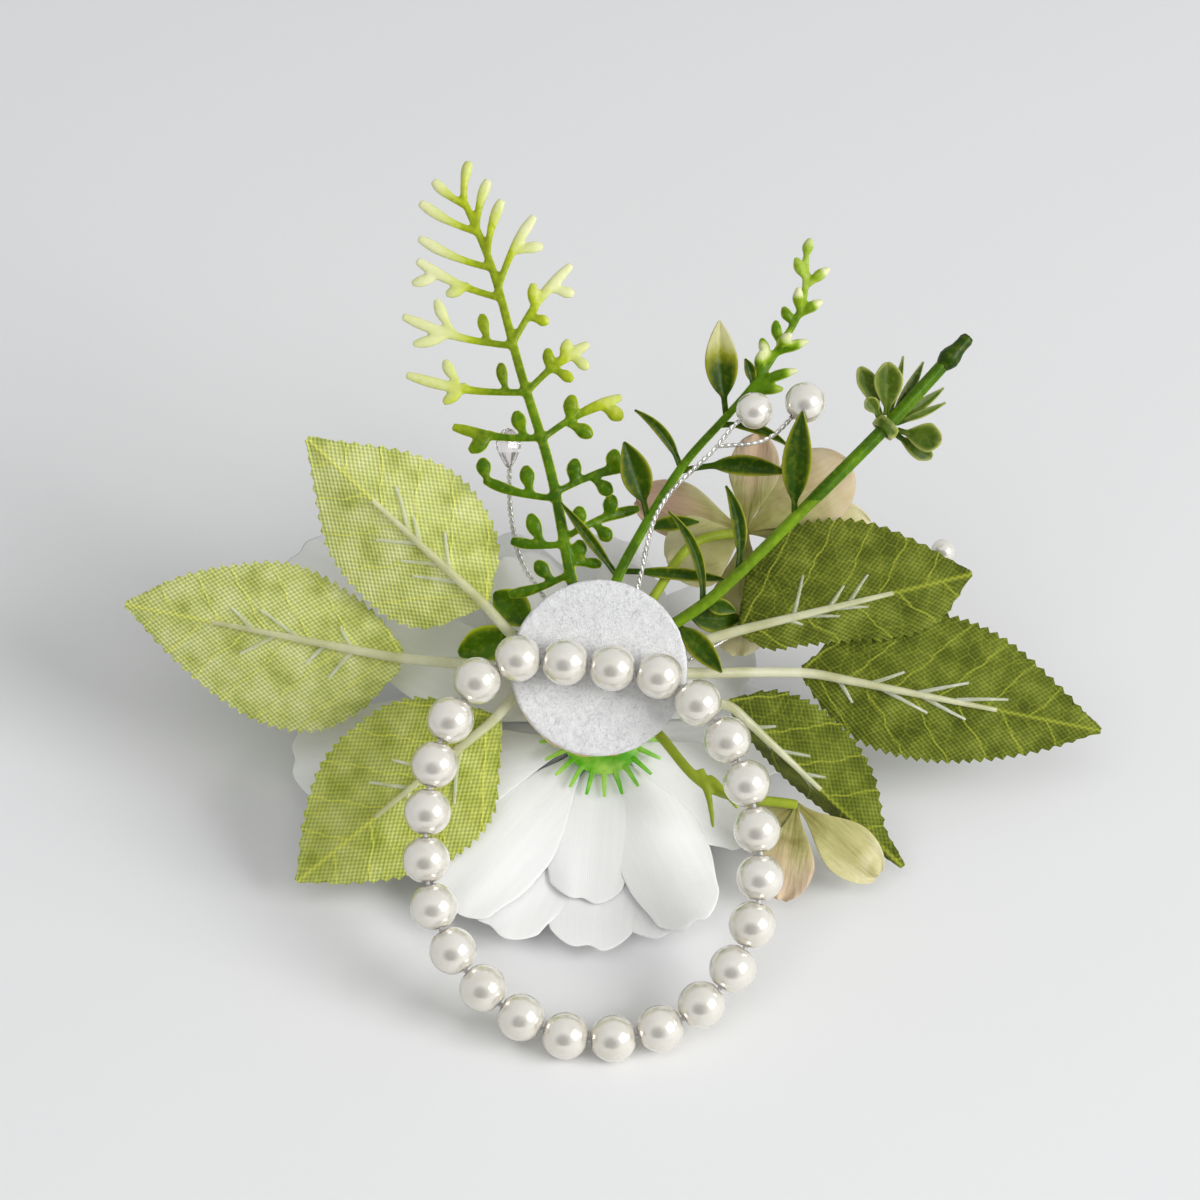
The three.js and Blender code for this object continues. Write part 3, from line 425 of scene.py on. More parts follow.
pearl_finish = mottled_finish(
    "pearl_coat", roughness=0.18, tone=(190, 3, 1.2), grain=(900, 2), height=0.02,
    stops=[(0.3, (0.77, 0.73, 0.64)), (0.7, (0.84, 0.81, 0.74))],
    Subsurface_Weight=0.12, Subsurface_Radius=(0.003, 0.002, 0.0015), Metallic=0.5, Coat_Weight=1,
    Coat_Roughness=0.06, Sheen_Weight=0.15, Sheen_Roughness=0.35, Sheen_Tint=(1, 0.95, 0.82, 1))
pearl_model = bored_bead("pearl_model", PEARL_RADIUS, PEARL_LEAST_BORE)
pearl_places = [node_middle(f"pearl_{number:02d}") for number in range(1, PEARL_COUNT + 1)]
pearl_bores = []
for number, place in enumerate(pearl_places, 1):
    before = pearl_places[number - 2]
    after = pearl_places[number % PEARL_COUNT]
    pearl_bores.append((after - before).normalized())
    pearl = copy_of(pearl_model, f"bracelet_pearl_{number:02d}", standing_along(place, pearl_bores[-1]))
    hand_over(pearl, pearl_finish, f"pearl_{number:02d}",
              "corsage" if number in GLUED_PEARLS else f"bead_{number:02d}")
bpy.data.objects.remove(pearl_model)

# Elastic: one clear round elastic, a closed loop that runs through the bore of every pearl.
# It shows only as a short glint between neighbouring pearls.
ELASTIC_DIAMETER = 0.8
ELASTIC_STATIONS = (-3.5, -1.2, 1.2, 3.5)
elastic_route = []
for place, bore in zip(pearl_places, pearl_bores):
    elastic_route += [(place + bore * run * MM, 1) for run in ELASTIC_STATIONS]
elastic = rods("elastic_thread", [elastic_route], ELASTIC_DIAMETER, sides=10, smoothness=4, closed=True)
elastic_finish = mottled_finish(
    "clear_elastic", roughness=0.3, tone=(2500, 2), grain=(2500, 2), height=0.03,
    stops=[(0.3, (0.9, 0.89, 0.85)), (0.7, (0.95, 0.94, 0.92))],
    Transmission_Weight=0.25, IOR=1.5)
hand_over(elastic, elastic_finish, "elastic_cord", "bracelet")

# Calyx: a bright green moulded cup with a comb of narrow teeth that lies behind the petals.
# Its neck is sunk in the glue, and the petal layers are pushed on the peg in its middle.
CALYX_MIDDLE = Vector((1, -11, -9.9))
FLOWER_TURN = math.radians(12)
FLOWER_LIFT = math.radians(-10)
CALYX_NECK_RADIUS = 3.5
CALYX_RIM_RADIUS = 7.2
CALYX_RIM_HEIGHT = 2.25
CALYX_PEG_RADIUS = 1.3
CALYX_PEG_TOP = 6.8
CALYX_TEETH = 22
CALYX_TOOTH_LENGTH = 4.6
CALYX_TOOTH_WIDTH = 0.9
CALYX_TOOTH_THICKNESS = 0.6
CALYX_TOOTH_NARROWING = 0.45
CALYX_TOOTH_THINNING = 0.4
CALYX_TOOTH_OVERLAP = 0.6
CALYX_TOOTH_DROP = 0.42
CALYX_TOOTH_CURL = 0.35
flower_axis = Vector((-math.sin(FLOWER_TURN), math.sin(FLOWER_LIFT),
                      -math.cos(FLOWER_TURN) * math.cos(FLOWER_LIFT))).normalized()
flower_side = Vector((0, 1, 0)).cross(flower_axis).normalized()
flower_up = flower_axis.cross(flower_side)
cup = turned_piece("calyx_cup", [
    (0, -2.9), (1.6, -2.9), (2.9, -2), (3.4, -0.6), (CALYX_NECK_RADIUS, 0.3), (4.8, 1.1),
    (CALYX_RIM_RADIUS, CALYX_RIM_HEIGHT - 0.5), (CALYX_RIM_RADIUS + 0.15, CALYX_RIM_HEIGHT - 0.25),
    (CALYX_RIM_RADIUS, CALYX_RIM_HEIGHT), (CALYX_PEG_RADIUS, CALYX_RIM_HEIGHT),
    (CALYX_PEG_RADIUS, CALYX_PEG_TOP), (0, CALYX_PEG_TOP)])
bpy.ops.mesh.primitive_cube_add(size=1)
tooth = bpy.context.object
tooth.scale = (CALYX_TOOTH_LENGTH * MM, CALYX_TOOTH_WIDTH * MM, CALYX_TOOTH_THICKNESS * MM)
settle(tooth, "calyx_tooth")
apply_modifier(tooth, "SUBSURF", levels=2, render_levels=2, subdivision_type="SIMPLE")
for vertex in tooth.data.vertices:
    share = vertex.co.x / (CALYX_TOOTH_LENGTH * MM) + 0.5
    vertex.co.y *= 1 - CALYX_TOOTH_NARROWING * share**2
    vertex.co.z *= 1 - CALYX_TOOTH_THINNING * share
    vertex.co.x += (CALYX_RIM_RADIUS - CALYX_TOOTH_OVERLAP + CALYX_TOOTH_LENGTH / 2) * MM
    vertex.co.z += (CALYX_RIM_HEIGHT - CALYX_TOOTH_DROP + CALYX_TOOTH_CURL * share**2) * MM
apply_modifier(tooth, "BEVEL", width=0.12 * MM, segments=2, limit_method="ANGLE")
teeth = [copy_of(tooth, "calyx_tooth", Matrix.Rotation(2 * math.pi * (i + 0.5) / CALYX_TEETH, 4, "Z"))
         for i in range(CALYX_TEETH)]
bpy.data.objects.remove(tooth)
calyx = join_pieces([cup, *teeth], "moulded_calyx")
calyx_place = on_pad(*CALYX_MIDDLE)
flower_frame = [(on_pad(*(CALYX_MIDDLE + axis)) - calyx_place) / MM
                for axis in (flower_side, flower_up, flower_axis)]
calyx.data.transform(Matrix.Translation(calyx_place) @ Matrix(flower_frame).transposed().to_4x4())
bpy.ops.object.shade_smooth_by_angle(angle=math.radians(40))
calyx_finish = mottled_finish(
    "calyx_plastic", roughness=0.35, tone=(240, 3), grain=(1400, 3), height=0.05,
    stops=[(0.38, (0.13, 0.5, 0.012)), (0.62, (0.46, 0.78, 0.12))],
    Specular_IOR_Level=0.25, Subsurface_Weight=0.2, Subsurface_Radius=(0.001, 0.002, 0.0005))
hand_over(calyx, calyx_finish, "calyx")

# Petal layers: white polyester silk, each layer one cut flower of narrow petals threaded on the calyx peg.
# Heat has cupped them away from the wrist. The lower petals bend where the corsage rests on the table.
PETAL_THICKNESS = 0.22
PETAL_HOLE_RADIUS = 1.6
PETAL_FIRST_HUB = 3.05
PETAL_HUB_STEP = 1
LOWER_PETAL_FLATTENING = 0.85
LOWER_PETAL_SHORTENING = 0.12
LEFT_PETAL_SPREAD = 0.3
PETAL_TABLE_GAP = 0.3
PETAL_TABLE_STEP = 1.4
PETAL_BEND_SOFTNESS = 2.5
PETAL_LAYER_WAVE = 0.9
PETAL_END_NARROWING = 0.22
PETAL_END_ROUNDING = 0.52
PETAL_NOTCH_DEPTH = 1.1
PETAL_NOTCH_WIDTH = 0.22
PETAL_TILT = 0.4
PETAL_HOLLOW = 1.1
PETAL_RIPPLE = 0.5
PETAL_FINE_RIPPLE = 0.35
PETAL_CREASE_HEIGHT = 0.45
PETAL_CREASE_WIDTH = 0.12
PETAL_TWIST = 0.6
PETAL_CURLS = (-0.3, 1.8)
# Each layer: how far it spreads, how deep it is cupped, the half width of its petals, and the petals, each
# with its direction in degrees, from the left and upward, and its share of the spread
PETAL_LAYERS = [
    {"reach": 36, "rise": 13, "half_width": 8.4, "petals": [
        (-84, 0.92), (-118, 1.13), (-47, 1.1), (-13, 1), (28, 0.97), (70, 1), (109, 0.95), (147, 1.02),
        (-153, 1)]},
    {"reach": 42, "rise": 24, "half_width": 9.4, "petals": [
        (-87, 0.99), (-112, 0.97), (-60, 0.98), (-2, 0.95), (39, 1.29), (72, 1), (104, 0.98), (138, 1),
        (174, 1)]},
    {"reach": 36, "rise": 28, "half_width": 11, "petals": [
        (-65, 1), (-14, 0.97), (38, 1.02), (89, 0.96), (141, 1), (-167, 0.98), (-117, 1)]},
    {"reach": 26, "rise": 26, "half_width": 11, "petals": [
        (-85, 1), (-13, 0.96), (59, 1.02), (131, 0.97), (-157, 1)]},
]


def in_flower(a, b, w):
    """A place in the flower, in millimetres on the pad: across it, up it, and out from the calyx."""
    return CALYX_MIDDLE + a * flower_side + b * flower_up + w * flower_axis


def layer_form(index, turn):
    """How far a layer spreads towards a direction, and how deep it is cupped there."""
    layer = PETAL_LAYERS[index]
    down = max(0, -math.sin(turn)) ** 0.8
    left = max(0, math.cos(turn)) ** 3
    spread = layer["reach"] * (1 - LOWER_PETAL_SHORTENING * down + LEFT_PETAL_SPREAD * left)
    return spread, layer["rise"] * (1 - LOWER_PETAL_FLATTENING * down)


def petal_place(index, r, turn, lift):
    """A place on a layer, bent gently onto the table where it would pass it."""
    spread, cup = layer_form(index, turn)
    share = r / spread
    w = PETAL_FIRST_HUB + PETAL_HUB_STEP * index + cup * share**1.4 + lift
    w += PETAL_LAYER_WAVE * share**3 * math.sin(3 * turn + 1)
    place = in_flower(r * math.cos(turn), r * math.sin(turn), w)
    floor = PETAL_TABLE_GAP + (len(PETAL_LAYERS) - index) * PETAL_TABLE_STEP
    height = on_pad(*place).z / MM
    bent = floor + PETAL_BEND_SOFTNESS * math.log(1 + math.exp((height - floor) / PETAL_BEND_SOFTNESS))
    place.z += (bent - height) / math.cos(PAD_LEAN)
    return on_pad(*place)


def soft_step(low, high, x):
    """0 below low, 1 above high, smooth between."""
    s = min(1, max(0, (x - low) / (high - low)))
    return s * s * (3 - 2 * s)


def shaped_grid(name, rows, columns, shape):
    """A sheet whose places and map, in millimetres, come from a shape of t along it and v across it."""
    bpy.ops.mesh.primitive_grid_add(x_subdivisions=rows, y_subdivisions=columns, size=1)
    sheet = bpy.context.object
    sheet_map = []
    for vertex in sheet.data.vertices:
        vertex.co, on_map = shape(vertex.co.x + 0.5, 2 * vertex.co.y)
        sheet_map.append(on_map)
    for loop, corner in zip(sheet.data.loops, sheet.data.uv_layers["UVMap"].data):
        corner.uv = sheet_map[loop.vertex_index]
    sheet.name = sheet.data.name = name
    return sheet


def thicken(sheet, thickness):
    """Gives a sheet its thickness behind its wrist side, and smooths it. Returns its flat area."""
    area = sum(face.area for face in sheet.data.polygons)
    middle = sheet.data.polygons[len(sheet.data.polygons) // 2]
    if middle.normal.dot(WRISTWARD) < 0:
        sheet.data.flip_normals()
    select_only(sheet)
    apply_modifier(sheet, "SOLIDIFY", thickness=thickness * MM, offset=-1)
    apply_modifier(sheet, "SUBSURF", levels=1, render_levels=1)
    bpy.ops.object.shade_smooth()
    return area


silk_finish, tree, shader = new_finish(
    "white_silk", 0.7, Subsurface_Weight=0.15, Subsurface_Radius=(0.0015, 0.0015, 0.0015), Sheen_Weight=0.15,
    Specular_IOR_Level=0.2)
pleats = noise_field(tree, 1, stretch=(0.05, 1.1, 1), source="UV")
silk_colour = colour_ramp(tree, pleats, [(0.3, (0.875, 0.875, 0.87)), (0.62, (0.9, 0.9, 0.895))])
set_inputs(tree, shader, {"Base Color": silk_colour})
silk_map = add_node(tree, "UVMap", uv_map="UVMap").outputs["UV"]
silk_weave = add_node(tree, "TexWave", {"Vector": silk_map, "Scale": 0.9, "Distortion": 1.5, "Detail": 2},
                      bands_direction="Y")
weave_bump = bump_from(tree, shader, silk_weave.outputs["Fac"], 0.012)
bump_from(tree, weave_bump, pleats, 0.02)

petal_random = random.Random(21)
for index, layer in enumerate(PETAL_LAYERS):
    petals = []
    for degrees, share_of_spread in layer["petals"]:
        middle_turn = math.radians(degrees)
        reach = layer_form(index, middle_turn)[0] * share_of_spread
        twist = petal_random.uniform(-PETAL_TWIST, PETAL_TWIST)
        curl = petal_random.uniform(*PETAL_CURLS)
        phase = petal_random.uniform(0, 6)

        def petal_shape(t, v):
            """A narrow foot and a round end with a notch, cupped, twisted, curled, rippled and creased."""
            half = layer["half_width"] * (0.07 + 0.93 * soft_step(0, 0.6, t))
            half *= 1 - PETAL_END_NARROWING * soft_step(0.72, 1, t)
            r = PETAL_HOLE_RADIUS + t * (reach - PETAL_HOLE_RADIUS)
            notch = PETAL_NOTCH_DEPTH * math.exp(-((v - 0.1) / PETAL_NOTCH_WIDTH) ** 2)
            r -= t**4 * (PETAL_END_ROUNDING * half * v**2 + notch)
            side = half * v
            lift = PETAL_TILT * v + t * (PETAL_HOLLOW * v**2 + twist * v) + curl * t**4
            ripple = PETAL_RIPPLE * t**2 * math.sin(2.6 * v + phase)
            lift += ripple + PETAL_FINE_RIPPLE * t**3 * math.sin(7 * v + 2 * phase)
            lift += PETAL_CREASE_HEIGHT * math.exp(-((v / PETAL_CREASE_WIDTH) ** 2)) * t * (1 - t)
            place = petal_place(index, math.hypot(r, side), middle_turn + math.atan2(side, r), lift)
            return place, (t * reach, side)

        petals.append(shaped_grid("petal", rows=26, columns=14, shape=petal_shape))
    petal_layer = join_pieces(petals, f"silk_petals_{index + 1}")
    area = thicken(petal_layer, PETAL_THICKNESS)
    hand_over(petal_layer, silk_finish, f"petal_layer_{index + 1}")

# Heart of the flower: one strip of the same silk rolled up and set on the end of the peg.
# It faces away from the wrist, and its free edge is wavy.
HEART_BASE = 7.2
HEART_HEIGHT = 14
HEART_TURNS = 2.6
HEART_OUTER_RADIUS = 6.3
HEART_EDGE_WAVE = 0.7


def heart_shape(t, v):
    """The rolled strip: t along its turns, v from its foot to its wavy edge."""
    rise = (v + 1) / 2
    turn = 2 * math.pi * HEART_TURNS * t
    swell = 0.45 + 0.65 * math.sin(math.pi * (0.12 + 0.7 * rise))
    radius = (1 + (HEART_OUTER_RADIUS - 1) * t) * swell
    top = HEART_HEIGHT * (0.95 - 0.25 * t) + HEART_EDGE_WAVE * math.sin(2.2 * turn)
    place = in_flower(radius * math.cos(turn), radius * math.sin(turn), HEART_BASE + rise * top)
    return on_pad(*place), (3 * turn, rise * HEART_HEIGHT)


heart = shaped_grid("silk_heart", rows=90, columns=10, shape=heart_shape)
heart_area = thicken(heart, PETAL_THICKNESS)
hand_over(heart, silk_finish, "flower_heart")

# Woven leaves: six blades cut with a saw-toothed edge from printed polyester cloth, three light and three
# olive; the lower left blade takes a darker copy of the light cloth as painted shade. Pale veins are printed
# on the weave, and each blade is pressed into a shallow fold along its middle.
LEAF_THICKNESS = 0.35
LEAF_BOW = 3
LEAF_RIPPLE = 0.35
LEAF_TOOTH_PITCH = 1.9
LEAF_TOOTH_DEPTH = 0.85
LEAF_ROWS_PER_TOOTH = 4
LEAF_COLUMNS = 28
WARP_PITCH = 1.15
WEFT_PITCH = 0.85
VEIN_PITCH = 8.4
VEIN_SWEEP = 0.9
VEIN_SHIFT = 3.1
VEIN_WANDER = 3
MIDDLE_VEIN_WIDTH = 0.55
# Each leaf: where its stem leaves the glue, its base and tip, the folds of its two halves in degrees, the
# share of it that its rib runs along, and the widths of its halves at the stations from base to tip
LEAF_STATIONS = (0, 0.1, 0.25, 0.45, 0.65, 0.85, 1)
LEAVES = {
    "left_upper": {
        "exit": 162, "base": (-19.3, 10.7, -3.5), "tip": (-50.2, 39.2, -9), "folds": (12, 16), "rib": 0.62,
        "upper": (1, 8.5, 12.3, 13.7, 11, 5.6, 0.3), "lower": (1, 10, 13.8, 14.2, 12.2, 6, 0.3)},
    "left_middle": {
        "exit": 180, "base": (-33.9, 1.4, -8), "tip": (-82.8, 10.7, -20), "folds": (10, 14), "rib": 0.67,
        "upper": (2, 6.5, 10.5, 13.1, 11, 6.6, 0.3), "lower": (2, 10, 15.8, 16.6, 13, 6.8, 0.3)},
    "left_lower": {
        "exit": 198, "base": (-17.3, -8.5, -3.2), "tip": (-51.8, -36.8, -8), "folds": (14, 10), "rib": 0.6,
        "upper": (1, 8, 13.6, 15.1, 13.8, 7.7, 0.3), "lower": (1, 6.5, 13, 14.6, 12.2, 6.5, 0.3)},
    "right_upper": {
        "exit": 14, "base": (24.2, 6.4, -5.5), "tip": (64.4, 16, -13), "folds": (14, 25), "rib": 0.65,
        "upper": (1, 10.5, 15.5, 15.9, 13.4, 7, 0.3), "lower": (1, 5, 5.9, 7.4, 8.8, 7.4, 0.3)},
    "right_middle": {
        "exit": -4, "base": (34.9, -0.7, -10), "tip": (87.8, -11.4, -21), "folds": (10, 16), "rib": 0.64,
        "upper": (1, 8, 13.5, 15.1, 12.8, 6.5, 0.3), "lower": (1, 6.5, 11, 12, 9.9, 5.5, 0.3)},
    "right_lower": {
        "exit": -22, "base": (21.9, -5.9, -4), "tip": (52.6, -34.7, -15), "folds": (12, 66), "rib": 0.52,
        "upper": (1, 7, 10.2, 11, 8.8, 3, 0.3), "lower": (0.5, 3, 5.5, 6.5, 5, 3, 0.3)},
}


def smooth_between(start, end, leave, arrive, s):
    """A value some share between two, with the slopes that it leaves and arrives with."""
    return ((2 * s**3 - 3 * s**2 + 1) * start + (s**3 - 2 * s**2 + s) * leave
            + (3 * s**2 - 2 * s**3) * end + (s**3 - s**2) * arrive)


def between_stations(values, t):
    """A smooth value between those at the leaf's stations."""
    last = len(LEAF_STATIONS) - 1
    i = next((k for k in range(last) if t <= LEAF_STATIONS[k + 1]), last - 1)
    span = LEAF_STATIONS[i + 1] - LEAF_STATIONS[i]
    slopes = []
    for k in (i, i + 1):
        low, high = max(k - 1, 0), min(k + 1, last)
        slopes.append((values[high] - values[low]) / (LEAF_STATIONS[high] - LEAF_STATIONS[low]) * span)
    return smooth_between(values[i], values[i + 1], *slopes, (t - LEAF_STATIONS[i]) / span)


def bowed_line(base, middle, tip, t):
    """A place some share along a bowed line, and the line's direction there."""
    place = (1 - t) ** 2 * base + 2 * t * (1 - t) * middle + t**2 * tip
    return place, (2 * (1 - t) * (middle - base) + 2 * t * (tip - middle)).normalized()


def blade_point(leaf, t, v, lift=0.0, tooth=0.0):
    """A place on a leaf's wrist side, on the pad, and the blade's half width there: t from base to tip, v
    from -1 to 1 across."""
    base, tip = Vector(leaf["base"]), Vector(leaf["tip"])
    place, along = bowed_line(base, (base + tip) / 2 + Vector((0, 0, LEAF_BOW)), tip, t)
    face = (Vector((0, 0, 1)) - along * along.z).normalized()
    side = face.cross(along)
    if side.y < 0:
        side.negate()
    half = between_stations(leaf["upper"] if v > 0 else leaf["lower"], t)
    half = max(0.15, half - tooth * min(1, half / 4))
    fold = math.radians(leaf["folds"][0 if v > 0 else 1])
    reach = half * abs(v)
    ripple = LEAF_RIPPLE * noise.noise(Vector((0.09 * place.x, 0.09 * place.y + 3 * v, 7))) * abs(v)
    place = place + side * math.copysign(reach * math.cos(fold), v)
    return place + face * (lift + ripple - half * math.sin(fold) * abs(v) ** 1.2), half


def mixed(tree, factor, first, second, blend="MIX"):
    """One colour mixed with another."""
    inputs = {"Factor": factor, "A": first, "B": second}
    return add_node(tree, "Mix", inputs, data_type="RGBA", blend_type=blend).outputs["Result"]


def leaf_cloth(name, shade, body, light, vein, gap):
    """Printed woven cloth, as dark between its threads as gap says. It reads the blade's own map, which is in
    millimetres along and across."""
    finish, tree, shader = new_finish(name, 0.72, Sheen_Weight=0.04, Specular_IOR_Level=0.12)

    def work(operation, *values, clamp=False):
        return math_node(tree, operation, *values, clamp=clamp)

    def fading(distance, width):
        """1 at no distance and 0 past the width."""
        return work("SUBTRACT", 1, work("DIVIDE", distance, width, clamp=True), clamp=True)

    blade_map = add_node(tree, "UVMap", uv_map="UVMap").outputs["UV"]
    parts = add_node(tree, "SeparateXYZ", {"Vector": blade_map}).outputs
    along, across = parts["X"], parts["Y"]
    warp = work("SINE", work("MULTIPLY", along, 2 * math.pi / WARP_PITCH))
    weft = work("SINE", work("MULTIPLY", across, 2 * math.pi / WEFT_PITCH))
    weave = work("ADD", work("MULTIPLY", work("MULTIPLY", warp, weft), 0.5), 0.5)

    wander = add_node(tree, "TexNoise", {"Vector": blade_map, "Scale": 0.22}).outputs["Fac"]
    out = work("ABSOLUTE", across)
    swept = work("SUBTRACT", along, work("MULTIPLY", out, VEIN_SWEEP))
    shifted = work("ADD", swept, work("MULTIPLY", work("GREATER_THAN", across, 0), VEIN_SHIFT))
    wandering = work("ADD", shifted, work("MULTIPLY", wander, VEIN_WANDER))
    from_vein = work("ABSOLUTE", work("SUBTRACT", work("FRACT", work("DIVIDE", wandering, VEIN_PITCH)), 0.5))
    network = add_node(tree, "TexVoronoi", {"Vector": blade_map, "Scale": 0.36}, feature="DISTANCE_TO_EDGE")
    fine_veins = work("MULTIPLY", fading(network.outputs["Distance"], 0.07), 0.3)
    main_veins = work("MAXIMUM", fading(from_vein, 0.05), fading(out, MIDDLE_VEIN_WIDTH))
    veins = work("MAXIMUM", main_veins, fine_veins)

    print_tone = noise_field(tree, 0.16, 5, source="UV")
    # Painted shade: the cloth's tone darkens within 18 mm of the blade's base, where it lies by the felt.
    tone_with_base_shade = work("SUBTRACT", print_tone, work("MULTIPLY", fading(along, 18), 0.12))
    cloth = colour_ramp(tree, tone_with_base_shade, [(0.32, shade), (0.48, body), (0.68, light)])
    printed = mixed(tree, work("MULTIPLY", veins, 0.85), cloth, (*vein, 1))
    threads = colour_ramp(tree, weave, [(0.15, (gap, gap, gap)), (0.75, (1, 1, 1))])
    set_inputs(tree, shader, {"Base Color": mixed(tree, 0.75, printed, threads, "MULTIPLY")})
    bump_from(tree, shader, work("ADD", weave, work("MULTIPLY", veins, 0.8)), 0.16)
    return finish


leaf_finishes = {
    "left": leaf_cloth(
        "leaf_cloth_light", shade=(0.47, 0.53, 0.12), body=(0.66, 0.72, 0.23), light=(0.82, 0.86, 0.38),
        vein=(0.84, 0.88, 0.18), gap=0.54),
    # A darker copy of the light cloth: painted shade on the lower left leaf.
    "left_lower": leaf_cloth(
        "leaf_cloth_light_shaded", shade=(0.36, 0.43, 0.06), body=(0.5, 0.56, 0.12), light=(0.66, 0.72, 0.22),
        vein=(0.78, 0.83, 0.13), gap=0.54),
    "right": leaf_cloth(
        "leaf_cloth_olive", shade=(0.08, 0.105, 0.007), body=(0.124, 0.157, 0.013),
        light=(0.22, 0.265, 0.034), vein=(0.37, 0.42, 0.04), gap=0.5),
}
for name, leaf in LEAVES.items():
    length = (Vector(leaf["tip"]) - Vector(leaf["base"])).length
    rows = round(length / LEAF_TOOTH_PITCH) * LEAF_ROWS_PER_TOOTH

    def blade_shape(t, v):
        """The blade, its rim cut back behind each tooth's point."""
        phase = round(t * rows) % LEAF_ROWS_PER_TOOTH / LEAF_ROWS_PER_TOOTH
        tooth = LEAF_TOOTH_DEPTH * (0.75 - phase) / 0.75 * abs(v) ** 10
        place, half = blade_point(leaf, t, v, tooth=tooth)
        return on_pad(*place), (length * t, half * v)

    blade = shaped_grid(f"woven_leaf_{name}", rows, LEAF_COLUMNS, blade_shape)
    area = sum(face.area for face in blade.data.polygons)
    bpy.ops.object.mode_set(mode="EDIT")
    bpy.ops.mesh.select_all(action="SELECT")
    bpy.ops.mesh.normals_make_consistent(inside=False)
    if blade.data.polygons[0].normal.dot(WRISTWARD) < 0:
        bpy.ops.mesh.flip_normals()
    bpy.ops.object.mode_set(mode="OBJECT")
    apply_modifier(blade, "SOLIDIFY", thickness=LEAF_THICKNESS * MM, offset=-1)
    bpy.ops.object.shade_smooth_by_angle(angle=math.radians(50))
    hand = name.split("_")[0]
    hand_over(blade, leaf_finishes.get(name, leaf_finishes[hand]),
              f"leaf_{name}")

# Leaf stems: clear green-tinted plastic stems that run from the glue along the wrist side of each blade.
# On the blade a stem is its rib, and thin side ribs of clear glue hold it to the cloth.
STEM_THICKNESS = 2
STEM_BASE_SHARE = 0.9
STEM_END_SHARE = 0.42
STEM_GLUE_GAP = 0.3
STEM_STRAIGHT_RUN = 1.6
STEM_STEPS = 8
SIDE_RIB_PAIRS = 3
SIDE_RIB_FIRST = 0.28
SIDE_RIB_PITCH = 0.22
SIDE_RIB_STAGGER = 0.05
SIDE_RIB_REACHES = (0.16, 0.42)
SIDE_RIB_SWEEPS = (0.05, 0.17)
SIDE_RIB_LIFT = 0.3
SIDE_RIB_SHARE = 0.44
SIDE_RIB_TAPER = 0.45
SIDE_RIB_STEPS = 4


def out_of_glue(degrees, depth, run):
    """A place beside the glue's rim where a stem leaves it, some way straight out."""
    turn = math.radians(degrees)
    reach = GLUE_RADIUS + STEM_GLUE_GAP + run
    return Vector((reach * math.cos(turn), reach * math.sin(turn), depth))


rib_finish = mottled_finish(
    "rib_plastic", roughness=0.28, tone=(170, 3), grain=(900, 3), height=0.08,
    stops=[(0.35, (0.62, 0.62, 0.33)), (0.65, (0.84, 0.83, 0.58))],
    Subsurface_Weight=0.2, Subsurface_Radius=(0.002, 0.002, 0.001), Alpha=0.52, Coat_Weight=0.4,
    Coat_Roughness=0.12)
clear_finish = mottled_finish(
    "clear_glue", roughness=0.1, tone=(400, 3), grain=(1200, 3), height=0.15,
    stops=[(0.35, (0.76, 0.8, 0.54)), (0.65, (0.94, 0.95, 0.86))],
    Alpha=0.4, Coat_Weight=0.5)
rib_random = random.Random(11)
for name, leaf in LEAVES.items():
    runs = (0, STEM_STRAIGHT_RUN / 2, STEM_STRAIGHT_RUN)
    stem = [(out_of_glue(leaf["exit"], GLUE_FRONT - STEM_THICKNESS, run), 1) for run in runs]
    for share in even_shares(STEM_STEPS):
        thick = STEM_BASE_SHARE + (STEM_END_SHARE - STEM_BASE_SHARE) * share
        lift = STEM_GLUE_GAP + STEM_THICKNESS / 2 * thick
        stem.append((blade_point(leaf, share * leaf["rib"], 0.001, lift)[0], thick))
    side_ribs = []
    for pair in range(SIDE_RIB_PAIRS):
        for hand in (-1, 1):
            start = leaf["rib"] * (SIDE_RIB_FIRST + SIDE_RIB_PITCH * pair + SIDE_RIB_STAGGER * hand)
            start += rib_random.uniform(-SIDE_RIB_STAGGER, SIDE_RIB_STAGGER)
            reach = rib_random.uniform(*SIDE_RIB_REACHES) * (1.1 - 0.12 * pair)
            sweep = rib_random.uniform(*SIDE_RIB_SWEEPS)
            rib = []
            for share in even_shares(SIDE_RIB_STEPS):
                across = hand * (0.02 + reach * share)
                place, _ = blade_point(leaf, start + sweep * share, across, SIDE_RIB_LIFT)
                rib.append((place, SIDE_RIB_SHARE * (1 - SIDE_RIB_TAPER * share)))
            side_ribs.append(rib)
    pieces = []
    for routes, finish in (([stem], rib_finish), (side_ribs, clear_finish)):
        pieces.append(pad_rods("leaf_rib", routes, STEM_THICKNESS, sides=10, smoothness=5))
        pieces[-1].data.materials.append(finish)
    stem = join_pieces(pieces, f"leaf_rib_{name}")
    hand_over(stem, None, f"leaf_stem_{name}")

# Fern: one soft plastic moulding, a grooved stem with flat branches that end in round lobes.
# It is moulded in green, its edges painted yellow-green as light shining through where they turn edge-on to
# the wrist side, and the outer tips are sprayed cream.
FERN_THICKNESS = 2.3
FERN_EXIT = 108
FERN_DEPTH = -2.4
FERN_ROUTE = [(-8.2, 33.6, -4.5), (-13.4, 50.5, -6), (-18.5, 69.2, -8), (-23.4, 80.6, -9.5)]
FERN_FLATNESS = 0.62
FERN_VOXEL = 0.27
FERN_LOBE_LEAN = 0.8
PAINT_RAGGEDNESS = 0.3
# The shares of the thickness along a branch, a lobe, and a lobe of the branches above a height
FERN_FINGER = [0.6, 0.56, 0.56, 0.58, 0.62, 0.72, 0.84, 0.9, 0.86, 0.58]
ROUND_LOBE = [0.46, 0.52, 0.85, 1.2, 1.26, 1.05, 0.45]
SLIM_LOBE = [0.46, 0.52, 0.7, 0.9, 0.96, 0.84, 0.42]
SLIM_LOBE_HEIGHT = 45
